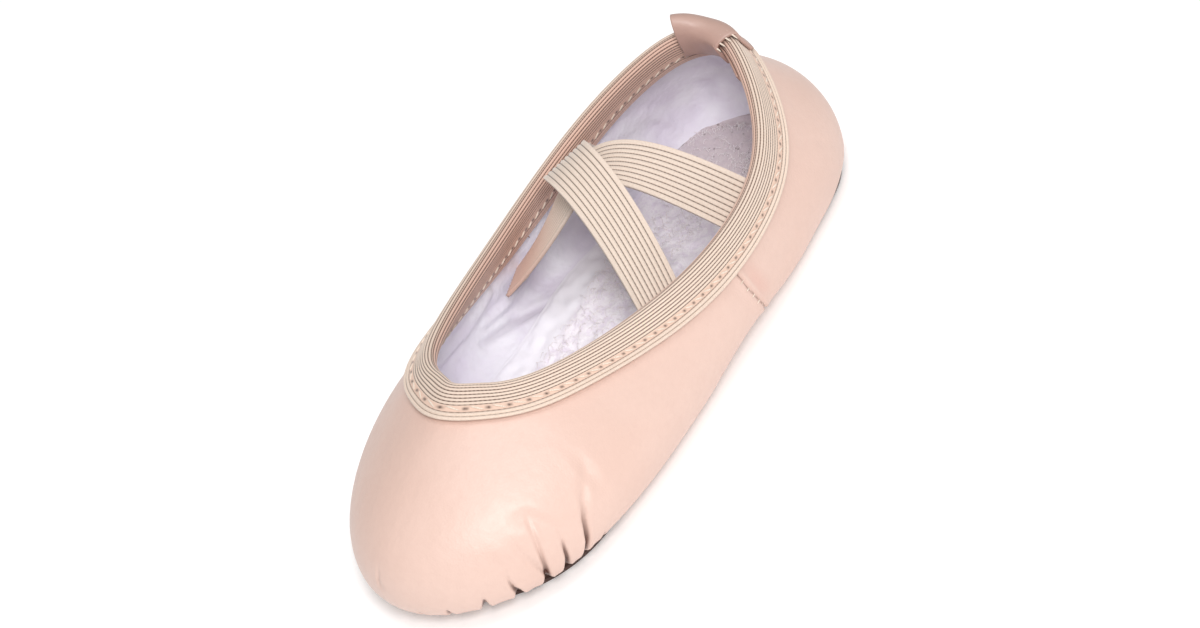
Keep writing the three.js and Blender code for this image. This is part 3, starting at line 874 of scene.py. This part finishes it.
def leather_relief(station, row):
    """Height of the leather over its plain skin, and its marks: painted shade in the folds, creases and
    grooves, and the pinker tone of the leather by the seam
    """
    side = side_of(station)
    mirrored = skin(side, row)
    gathers, dark = fold_relief(mirrored, GATHERS)
    far = np.mod(station, ROUND_TRIP) > TOE
    calm = np.where(far, smooth(1.0, 1.4, row), 1)
    gathers, dark = gathers * calm, dark * calm
    creases, shade = fold_relief(skin(station, row), CREASES)
    above = 1 - smooth(1.9, 2.05, row)
    distance, _ = nearest_on(mirrored, line_on_skin(SEAM))
    groove = hump(distance, SEAM_GROOVE)
    relief = (gathers + creases - SEAM_DEPTH * groove) * above
    relief = relief + SEAM_RISE * (hump(distance, SEAM_SWELL) - groove) * above
    relief = relief + slack_relief(side, row)
    keel = hump(mirrored[:, 1], KEEL_GROOVE) * smooth(2.1, 2.3, row)
    relief = relief - KEEL_DEPTH * keel
    heelwards = np.where(side < 2.7, hump(distance - 3 * MM, 8 * MM), 0) * hump(row - 0.8, 1)
    # The first mark paints shade in the gathers, creases, seam line and keel groove
    marks = {
        "fold": np.maximum(np.maximum(dark * above, shade),
                           np.maximum(0.55 * hump(distance, 0.9 * MM) * above, 0.9 * keel ** 2)),
        "blush": heelwards,
    }
    return relief, marks


def pad_reach(pad, inset):
    """Reach of the pad's outline ahead of and behind its widest line, and its half width"""
    behind = pad.length * pad.widest_share - inset
    ahead = pad.length * (1 - pad.widest_share) - inset
    return ahead, behind, pad.width / 2 - inset


def pad_level(pad, point, inset):
    """Below 1 inside the pad's outline drawn in by an inset"""
    ahead, behind, half = pad_reach(pad, inset)
    away = point[0] - pad.back - pad.length * pad.widest_share
    reach = ahead if away > 0 else behind
    power = 2 / pad.roundness
    return (abs(away / reach) ** power + abs(point[1] / half) ** power) ** (1 / power)


def cut_openings(piece):
    """Cuts the opening under each sole pad and draws the cut's edge on to the pad's inset outline"""
    form = bmesh.new()
    form.from_mesh(piece.data)
    for pad in PADS:
        middle = pad.back + pad.length * pad.widest_share
        levels = {}
        for vert in form.verts:
            if vert.co.z < UNDERSIDE + ARCH_LIFT:
                level = pad_level(pad, vert.co, SOLE_LAP)
                if level < 1:
                    levels[vert] = level
        inner = [face for face in form.faces if all(vert in levels for vert in face.verts)]
        bmesh.ops.delete(form, geom=inner, context="FACES")
        for vert, level in levels.items():
            if vert.is_valid and level > 0:
                vert.co.x = middle + (vert.co.x - middle) / level
                vert.co.y = vert.co.y / level
    form.to_mesh(piece.data)
    form.free()


class SLIPPER_OT_upper(bpy.types.Operator):
    """Model the pink leather shell with its gathers and side seams"""
    bl_idname = "slipper.upper"
    bl_label = "Leather Upper"

    def execute(self, context):
        sizes, colours = settings(context)

        def place(around, down):
            station = station_on_swell(around)
            top = row_at_depth(station, 0 * station + BINDING_OUTSIDE)
            row = upper_row(down, top)
            relief, marks = leather_relief(station, row)
            return skin(station, row) + skin_normal(station, row) * relief[:, None], marks

        piece = grid("upper_leather", UPPER_COLUMNS, UPPER_ROWS, place)
        cut_openings(piece)
        thicken(piece, sizes.leather)
        finish = leather_finish("pink leather", colours.leather, colours.leather_fold)
        dress(piece, "upper_leather", finish, "upper")
        return {"FINISHED"}


class SLIPPER_OT_seams(bpy.types.Operator):
    """Model the thread of the side seams and of the seam under the arch"""
    bl_idname = "slipper.seams"
    bl_label = "Seam Stitches"

    def execute(self, context):
        sizes, colours = settings(context)
        at, rows, *_ = np.array(SEAM).T
        order = np.arange(len(SEAM))
        steps = np.linspace(0.2, len(SEAM) - 1.3, 400)
        line = skin(np.interp(steps, order, at), np.interp(steps, order, rows))
        lengths = run_lengths(line)
        places = np.interp(np.arange(0, lengths[-1], sizes.seam_pitch), lengths, steps)
        spans = []
        for side in (1, -1):
            station = np.interp(places, order, at)
            row = np.interp(places, order, rows)
            first = skin_points(side * (station - 0.002), row, 0.1 * MM)
            second = skin_points(side * (station + 0.035), row - 0.01, 0.3 * MM)
            spans += list(zip(first, second))
        x = np.arange(ARCH_BACK - 2 * MM, ARCH_FRONT + 2 * MM, sizes.seam_pitch)
        for y in (-sizes.topstitch_gap, sizes.topstitch_gap):
            level = underside(x) - 0.02 * MM
            row = [(a, y, z) for a, z in zip(x, level)]
            spans += [(start, Vector(start) + Vector((sizes.seam_pitch * 0.75, 0, 0))) for start in row]
        piece = stitches("seam_thread", spans, 0.7 * sizes.thread)
        dress(piece, "upper_leather", thread_finish("seam thread", colours.thread))
        return {"FINISHED"}


class SLIPPER_OT_lining(bpy.types.Operator):
    """Model the white cloth lining with its soft wrinkles"""
    bl_idname = "slipper.lining"
    bl_label = "Lining"

    def execute(self, context):
        sizes, colours = settings(context)
        outside = -(sizes.leather + 0.1 * MM)

        def place(around, down):
            station = station_on_collar(around)
            top = row_at_depth(station, 0 * station + BINDING_LEG / 2)
            row = mix(top, mix(LINING_HEEL_END, LINING_END, past_heel(station)), down)
            gathers, _ = fold_relief(skin(side_of(station), row), GATHERS)
            # The wrinkles' troughs get painted shade
            wrinkles, dark = fold_relief(skin(station, row), WRINKLES)
            slack = LINING_SLACK * smooth(0.45, 0.75, row) * (1 - 0.6 * smooth(1.3, 1.7, row))
            folds = np.minimum(gathers * 1.2, 0) * (1 - smooth(1.9, 2.05, row))
            form = np.minimum(slack_relief(side_of(station), row), 0)
            out = folds + form + np.minimum(outside - slack + 1.5 * wrinkles, outside)
            return skin(station, row) + skin_normal(station, row) * out[:, None], {"fold": dark}

        piece = thicken(grid("lining", 360, 70, place), sizes.lining)
        dress(piece, "insole_fleece", lining_finish(colours.lining), "upper")
        return {"FINISHED"}


def insole_edge(station):
    """Row where the insole ends: it climbs the wall a little round the heel"""
    return mix(HEEL_EDGE, INSOLE_EDGE, past_heel(station))


class SLIPPER_OT_insole(bpy.types.Operator):
    """Model the brushed fleece insole and its loose fibres"""
    bl_idname = "slipper.insole"
    bl_label = "Insole"

    def execute(self, context):
        _, colours = settings(context)
        seat = -(UPPER_WALL + FIT_GAP)
        chance = np.random.default_rng(7)
        waves = chance.uniform(-1, 1, (60, 3)) * [1500, 1500, pi]

        def face(station, row):
            """Fleece face; across the tight turn at the tread edge it runs straight"""
            share = np.clip((row - RUN_START) / (RUN_END - RUN_START), 0, 1)[:, None]
            wall = nap(station, np.minimum(row, RUN_START))
            return mix(wall, nap(station, np.maximum(row, RUN_END)), share)

        def nap(station, row):
            flat = skin(station, row)
            tufts = sum(np.sin(flat[:, 0] * a + flat[:, 1] * b + c) for a, b, c in waves) / sqrt(30)
            bank = smooth(0, 0.1, row - insole_edge(station))
            height = mix(THIN_EDGE, INSOLE_THICKNESS, bank) + 0.18 * MM * tufts * bank
            return flat + skin_normal(station, row) * (seat - height)[:, None]

        def place(around, across):
            station = station_on_collar(around)
            edge = insole_edge(station)
            top = across <= FACE_SHARE
            under = (across - UNDER_SHARE) / (1 - UNDER_SHARE)
            row = np.where(top, mix(3, edge, across / FACE_SHARE), mix(edge, 3, under))
            row = np.clip(row, edge, 3)
            side = side_of(station)
            upper = face(station, row)
            back = np.maximum(row, RUN_END)
            low = skin(station, back) + skin_normal(station, back) * seat
            thin = upper + UP * (row[:, None] - RUN_END) * 0.5 * MM
            low = np.where((row < RUN_END)[:, None], thin, low)
            points = np.where(top[:, None], upper, low)
            near = np.mod(station + TOE, ROUND_TRIP) - TOE
            strip = smooth(-4.4, -3.6, near) * (1 - smooth(-2.6, -2.2, near))
            # The last mark paints shade in the crease along the insole's edge round the heel
            marks = {
                "wear": 1 - smooth(-68 * MM, -44 * MM, points[:, 0]),
                "cloth": strip * (1 - smooth(2.4, 2.5, row)),
                "fold": 0.9 * (1 - smooth(0, 0.05, row - edge)) * (1 - smooth(1.3, 1.8, side)),
            }
            return points, marks

        piece = grid("fleece_insole", 360, 84, place)
        finish = fleece_finish(colours.fleece, colours.fleece_worn, colours.lining)
        dress(piece, "insole_fleece", finish, "insole")

        half = FIBRES // 2
        station = np.concatenate([chance.uniform(-1.3, 1.3, half), chance.uniform(-3.6, -1.6, half)])
        row = np.concatenate([chance.uniform(1.7, 3, half), chance.uniform(2.4, 3, half)])
        spans = []
        for root in face(station, row):
            turn, lie = chance.uniform(0, 2 * pi), chance.uniform(-0.5, 0.5)
            size = chance.uniform(0.6, 1.4) * MM
            flat = Vector((cos(turn), sin(turn), 0))
            rise = Vector((-sin(turn) * sin(lie), cos(turn) * sin(lie), cos(lie)))
            arc = [Vector(root) + size * (flat * cos(a) + rise * (sin(a) - 0.15))
                   for a in np.linspace(0, pi, 6)]
            spans += list(zip(arc, arc[1:]))
        fibres = stitches("fleece_fibres", spans, 0.16 * MM, 1)
        dress(fibres, "insole_fleece", thread_finish("fleece fibre", colours.fibre))
        return {"FINISHED"}


def binding_section(path, relief, inset):
    """Depth and outward place of a point on the folded binding, a way along its face from the inner hem"""
    radius = FOLD_RADIUS + relief - inset
    angle = np.clip((path - STRAIGHT) / FOLD_RADIUS, 0, pi)
    past = np.maximum(path - (BINDING_PATH - STRAIGHT), 0) + np.maximum(STRAIGHT - path, 0)
    depth = FOLD_RADIUS - radius * np.sin(angle) + past
    out = FOLD_MIDDLE - radius * np.cos(angle)
    return depth, out


def rib_groove(distance, pitch):
    """1 down between two ribs and 0 on their tops"""
    return 0.5 + 0.5 * np.cos(2 * pi * distance / pitch)


def arch_between(distance, low, high):
    """Half round from 0 at low over 1 to 0 at high"""
    return np.sin(pi * np.clip((distance - low) / (high - low), 0, 1))


def binding_relief(hem, sizes):
    """Height of the elastic's face a way from its hem, and how much shade is painted there, down the grooves
    between ribs and along the cords' edges
    """
    cords = arch_between(hem, 0, CORD) + 0.8 * arch_between(hem, CORD, BAND_START)
    ribs = rib_groove(hem - BAND_END, sizes.rib_pitch) ** 2 * (hem >= BAND_END)
    lines = hump(hem - CORD, 0.45 * MM) + hump(hem - BAND_START - 0.1 * MM, 0.6 * MM)
    return sizes.cord_height * cords - sizes.rib_height * ribs, ribs + 0.85 * lines


class SLIPPER_OT_binding(bpy.types.Operator):
    """Model the ribbed elastic binding folded over the collar, with its corded hem and its thread"""
    bl_idname = "slipper.binding"
    bl_label = "Collar Binding"

    def execute(self, context):
        sizes, colours = settings(context)
        face_share = 0.9
        count = round(COLLAR_LENGTH / sizes.stitch_pitch)

        def place(around, across):
            station = station_on_collar(around)
            face = across <= face_share
            path = np.where(face, across / face_share, (1 - across) / (1 - face_share)) * BINDING_PATH
            hem = np.minimum(path, BINDING_PATH - path)
            # The second value is painted shade in the grooves
            relief, groove = binding_relief(hem, sizes)
            outer = smooth(0.45, 0.55, path / BINDING_PATH)
            relief = np.where(outer > 0, relief, np.minimum(relief, 0.1 * MM))
            thickness = np.where(face, 0, BINDING_THICKNESS * 0.95)
            depth, out = binding_section(path, np.where(face, relief, 0), thickness)
            phase = around * count
            near = (phase - np.round(phase)) * sizes.stitch_pitch
            # Stitch holes, painted in shade
            hole = hump(near, 1.3 * MM) * hump(hem - BAND_START - 1 * MM, 1.3 * MM) * face
            past_band = smooth(BAND_END - 0.3 * MM, BAND_END, hem)
            band = smooth(BAND_START, BAND_START + 0.3 * MM, hem) * (1 - past_band)
            # The inner leg inside the shoe is painted in shade
            marks = {"groove": groove * face, "fold": hole, "inner": (1 - outer) * face,
                     "band": band * outer}
            return place_at(station, depth, out), marks

        piece = grid("collar_binding_elastic", 740, 126, place, closed=True)
        knit = round(COLLAR_LENGTH / sizes.knit_pitch)
        finish = elastic_finish("binding elastic", colours.elastic, colours.elastic_groove,
                                colours.elastic_inner, knit)
        dress(piece, "binding_elastic", finish, "collar_binding")

        spans = []
        for leg, lift in ((BINDING_OUTSIDE, 0.12 * MM), (BINDING_INSIDE, -0.12 * MM)):
            first, second = (np.arange(count) + 0.2) / count, (np.arange(count) + 0.8) / count
            high, low = BINDING_LEG - BAND_START - 1.5 * MM, BINDING_LEG - BAND_START - 0.5 * MM
            flat = np.full(count, leg + lift)
            spans += list(zip(place_at(station_on_collar(first), np.full(count, low), flat),
                              place_at(station_on_collar(second), np.full(count, high), flat)))
        thread = stitches("binding_thread", spans, sizes.thread)
        dress(thread, "binding_elastic", thread_finish("binding thread", colours.thread))
        return {"FINISHED"}


def strap_path(strap):
    """Handles of the curve that a strap's middle follows, from its far end to its near end"""
    seat = BINDING_INSIDE - FIT_GAP - STRAP_THICKNESS / 2
    scale = np.array([HALF_LENGTH, HALF_WIDTH, INSTEP_HEIGHT])
    far, near = [place_at(np.array(at), np.array(depth * BINDING_LEG), np.array(seat - off * STRAP_WIDTH))
                 for at, depth, off in ((strap.far_at, strap.far_depth, strap.far_off),
                                        (strap.near_at, strap.near_depth, strap.near_off))]
    return far, far + scale * strap.far_pull, near + scale * strap.near_pull, near


def strap_point(strap, along, share, lift):
    """Point on a strap: share runs across it from -0.5 to 0.5"""
    path = strap_path(strap)
    centre = bezier(path, along)
    tangent = unit(bezier(path, np.minimum(along + STEP, 1)) - bezier(path, np.maximum(along - STEP, 0)))
    level = unit(np.cross(tangent, UP))
    face = np.cross(level, tangent)
    crown = strap.crown_twist * 4 * along * (1 - along)
    twist = np.radians(mix(strap.far_twist, strap.near_twist, along) + crown)[:, None]
    across = level * np.cos(twist) + face * np.sin(twist)
    return centre + across * (share * STRAP_WIDTH)[:, None] + np.cross(across, tangent) * lift[:, None]


class SLIPPER_OT_straps(bpy.types.Operator):
    """Model the two crossed ribbed elastic straps"""
    bl_idname = "slipper.straps"
    bl_label = "Instep Straps"

    def execute(self, context):
        sizes, colours = settings(context)
        for strap in STRAPS:
            length = run_lengths(bezier(strap_path(strap), np.linspace(0, 1, 200)))[-1]

            def place(along, across):
                # groove sets the ribs' depth and paints shade down the grooves
                groove = rib_groove(across * sizes.strap_ribs, 1)
                edge = np.minimum(across, 1 - across) * STRAP_WIDTH < 0.5 * MM
                groove = np.where(edge, 0, groove)
                points = strap_point(strap, along, across - 0.5, sizes.strap_rib_height * (0.5 - groove))
                # The rear strap's far end is painted in shade
                inner = 1 - smooth(0, 0.35, along) if strap is STRAPS[1] else 0 * along
                return points, {"groove": 1.3 * groove, "inner": inner}

            piece = thicken(grid(strap.name + "_elastic", 160, 80, place), STRAP_THICKNESS * 0.75, 0)
            knit = round(length / sizes.knit_pitch)
            finish = elastic_finish(strap.name + " elastic", colours.strap,
                                    colours.elastic_groove, colours.elastic_inner, knit)
            dress(piece, "strap_elastic", finish, strap.name)
        rear = STRAPS[1]
        zig = np.linspace(-0.42, 0.42, 12)
        along = np.where(np.arange(12) % 2 == 0, 0.035, 0.075)
        points = [Vector(strap_point(rear, np.array([a]), np.array([z]), np.array([-0.62 * MM]))[0])
                  for a, z in zip(along, zig)]
        zigzag = stitches("strap_thread", list(zip(points, points[1:])), sizes.thread)
        dress(zigzag, "strap_elastic", thread_finish("strap thread", colours.thread))
        return {"FINISHED"}


class SLIPPER_OT_heel(bpy.types.Operator):
    """Model the leather tab folded over the heel and the facing inside it"""
    bl_idname = "slipper.heel"
    bl_label = "Heel Tab and Facing"

    def execute(self, context):
        sizes, colours = settings(context)
        ends = point_on(COLLAR, np.array([0.0, 1.0]))
        half_span = TAB_WIDTH / 2 / np.linalg.norm(ends[1] - ends[0])
        outer = BINDING_OUTSIDE + 0.2 * MM + TAB_THICKNESS
        inner = BINDING_INSIDE - 0.8 * FACING_THICKNESS - 0.1 * MM - TAB_THICKNESS
        middle, half = (outer + inner) / 2, (outer - inner) / 2

        def place_tab(around, down):
            station = mix(-half_span, half_span, around)
            top = mix(TAB_RISE, TAB_NEAR_RISE, around)
            angle = pi * np.clip((TAB_TURN_END - down) / (TAB_TURN_END - TAB_TURN_START), 0, 1)
            outside = (down - TAB_TURN_END) / (1 - TAB_TURN_END) * TAB_LEG
            inside = (TAB_TURN_START - down) / TAB_TURN_START * TAB_LEG * 2 / 3
            over = np.where(down < TAB_TURN_START, inside, -top * np.sin(angle))
            depth = np.where(down > TAB_TURN_END, outside, over)
            out = middle + half * np.cos(angle)
            # The tab's inner side is painted darker as shade
            return place_at(station, depth, out), {"blush": 0.8 * (1 - smooth(0.3, 0.6, down))}

        def place_facing(around, down):
            share = mix(-1, 1, around)
            foot = mix(2 * BINDING_THICKNESS, FACING_DEPTH, np.sqrt(1 - 0.9 * share * share))
            station = 0.4 + 0.8 * share
            depth = mix(BINDING_THICKNESS, foot, down)
            return place_at(station, depth, 0 * depth + BINDING_INSIDE - 0.05 * MM), {"blush": 0 * depth}

        # Colour of painted shade in hollows, passed on to the tab and facing finishes
        fold = colours.leather_fold
        tab = thicken(grid("heel_tab_leather", 48, 60, place_tab), TAB_THICKNESS)
        dress(tab, "tab_leather", leather_finish("tab leather", colours.tab, fold), "heel_tab")
        down = np.array([0.36, 0.43, 0.5, 0.57])
        on_tab, _ = place_tab(0 * down + 0.93, down)
        past_tab, _ = place_tab(0 * down + 1.05, down + 0.03)
        pull = unit(past_tab.mean(0) - place_at(np.array([half_span]), np.array([TAB_LEG]),
                                                np.array([middle]))[0])
        thread = stitches("tab_thread", zip(on_tab, past_tab - pull * 1.3 * MM), sizes.thread)
        dress(thread, "tab_leather", thread_finish("tab thread", colours.thread))

        facing = thicken(grid("heel_facing_leather", 60, 20, place_facing), 0.6 * FACING_THICKNESS)
        finish = leather_finish("facing leather", colours.facing, fold)
        dress(facing, "facing_leather", finish, "heel_facing")
        return {"FINISHED"}


def pad_point(pad, angle, inset):
    """Plan point on a pad's outline drawn in by an inset"""
    ahead, behind, half = pad_reach(pad, inset)

    def full(value):
        return np.sign(value) * np.abs(value) ** pad.roundness

    reach = np.where(np.cos(angle) > 0, ahead, behind)
    middle = pad.back + pad.length * pad.widest_share
    return middle + reach * full(np.cos(angle)), half * full(np.sin(angle))


class SLIPPER_OT_soles(bpy.types.Operator):
    """Model the two suede sole pads with their sunk stitch rows"""
    bl_idname = "slipper.soles"
    bl_label = "Sole Pads"

    def execute(self, context):
        sizes, colours = settings(context)
        finish = suede_finish(colours.suede, colours.sole_edge)
        rows = [sizes.sole_margin, sizes.sole_margin + sizes.sole_row_gap]
        edge = SOLE_THICKNESS / 4
        spans = []
        for pad in PADS:
            middle = min(pad_reach(pad, 0))
            steps = [0, 0.12, 0.15, 0.21, 0.24, 1]
            insets = [middle, edge, 0, 0, edge, middle]
            heights = [SOLE_THICKNESS, SOLE_THICKNESS, SOLE_THICKNESS - edge, edge, 0, 0]

            def place(around, down):
                inset = np.interp(down, steps, insets)
                x, y = pad_point(pad, 2 * pi * around, inset)
                # The sunk grooves also get painted shade
                sunk = sum(hump(inset - row, STITCH_GROOVE) for row in rows) * (down > 0.25)
                height = np.interp(down, steps, heights) + STITCH_DEPTH * sunk
                side = smooth(0.11, 0.125, down) * (1 - smooth(0.225, 0.25, down))
                return np.stack([x, y, height], -1), {"fold": 0.5 * sunk ** 2, "edge": side}

            piece = grid(pad.name + "_suede", 240, 100, place, closed=True)
            dress(piece, "sole_suede", finish, pad.name)

            def on_row(angles, inset):
                return np.stack([*pad_point(pad, angles, inset), 0 * angles + STITCH_LEVEL], -1)

            for inset in rows:
                angles = np.linspace(0, 2 * pi, 721)
                lengths = run_lengths(on_row(angles, inset))
                count = round(lengths[-1] / sizes.sole_stitch_pitch)
                ends = [np.interp((np.arange(count) + share) / count, lengths / lengths[-1], angles)
                        for share in (0, 0.72)]
                spans += list(zip(*(on_row(end, inset) for end in ends)))
        thread = stitches("sole_thread", spans, sizes.thread)
        dress(thread, "sole_suede", thread_finish("sole thread", colours.thread))
        return {"FINISHED"}


class SLIPPER_OT_stage(bpy.types.Operator):
    """Set up the pale floor, the soft studio light and the camera"""
    bl_idname = "slipper.stage"
    bl_label = "Stage"

    def execute(self, context):
        _, colours = settings(context)
        form = bmesh.new()
        bmesh.ops.create_grid(form, x_segments=1, y_segments=1, size=FLOOR_REACH)
        floor = finish_form("studio_floor", form)
        floor.data.materials.append(floor_finish(colours.floor))

        context.scene.view_settings.view_transform = "Standard"
        world = bpy.data.worlds.new("soft studio")
        world.use_nodes = True
        world.node_tree.nodes["Background"].inputs["Color"].default_value = (1, 1, 1, 1)
        world.node_tree.nodes["Background"].inputs["Strength"].default_value = WORLD_STRENGTH
        context.scene.world = world

        for name, power, size, azimuth, elevation in LIGHTS:
            lamp = bpy.data.lights.new(name, "AREA")
            lamp.energy = power
            lamp.size = size
            holder = bpy.data.objects.new(name, lamp)
            holder.matrix_world = facing_matrix(azimuth, elevation, 0, LAMP_DISTANCE, Vector(LAMP_AIM))
            context.scene.collection.objects.link(holder)

        camera = bpy.data.cameras.new("camera")
        camera.lens = CAMERA_LENS
        camera.sensor_width = CAMERA_SENSOR
        holder = bpy.data.objects.new("camera", camera)
        holder.matrix_world = facing_matrix(CAMERA_AZIMUTH, CAMERA_ELEVATION, CAMERA_ROLL,
                                            CAMERA_DISTANCE, Vector(CAMERA_AIM))
        context.scene.collection.objects.link(holder)
        context.scene.camera = holder
        return {"FINISHED"}


def facing_matrix(azimuth, elevation, roll, distance, aim):
    """Place that looks at the aim from a direction in degrees, turned about the line of sight"""
    a, e, r = radians(azimuth), radians(elevation), radians(roll)
    back = Vector((cos(e) * cos(a), cos(e) * sin(a), sin(e)))
    level = Vector((0, 0, 1)).cross(back).normalized()
    rise = back.cross(level)
    right = level * cos(r) + rise * sin(r)
    up = rise * cos(r) - level * sin(r)
    turn = Matrix((right, up, back)).transposed().to_4x4()
    return Matrix.Translation(aim + back * distance) @ turn


class SLIPPER_PT_panel(bpy.types.Panel):
    """Sizes, colours and pieces of the slipper"""
    bl_idname = "SLIPPER_PT_panel"
    bl_label = "Ballet Slipper"
    bl_space_type = "VIEW_3D"
    bl_region_type = "UI"
    bl_category = "Slipper"

    def draw(self, context):
        for group in (context.scene.slipper_sizes, context.scene.slipper_colours):
            for name in group.__annotations__:
                self.layout.prop(group, name)
        for operator in OPERATORS:
            self.layout.operator(operator.bl_idname)


OPERATORS = (SLIPPER_OT_upper, SLIPPER_OT_seams, SLIPPER_OT_lining, SLIPPER_OT_insole, SLIPPER_OT_binding,
             SLIPPER_OT_straps, SLIPPER_OT_heel, SLIPPER_OT_soles, SLIPPER_OT_stage)
CLASSES = (SlipperSizes, SlipperColours, *OPERATORS, SLIPPER_PT_panel)


def register():
    for part in CLASSES:
        bpy.utils.register_class(part)
    bpy.types.Scene.slipper_sizes = PointerProperty(type=SlipperSizes)
    bpy.types.Scene.slipper_colours = PointerProperty(type=SlipperColours)


def unregister():
    del bpy.types.Scene.slipper_colours
    del bpy.types.Scene.slipper_sizes
    for part in reversed(CLASSES):
        bpy.utils.unregister_class(part)


def main():
    register()
    bpy.ops.slipper.upper()
    bpy.ops.slipper.seams()
    bpy.ops.slipper.lining()
    bpy.ops.slipper.insole()
    bpy.ops.slipper.binding()
    bpy.ops.slipper.straps()
    bpy.ops.slipper.heel()
    bpy.ops.slipper.soles()
    bpy.ops.slipper.stage()


if __name__ == "__main__":
    main()
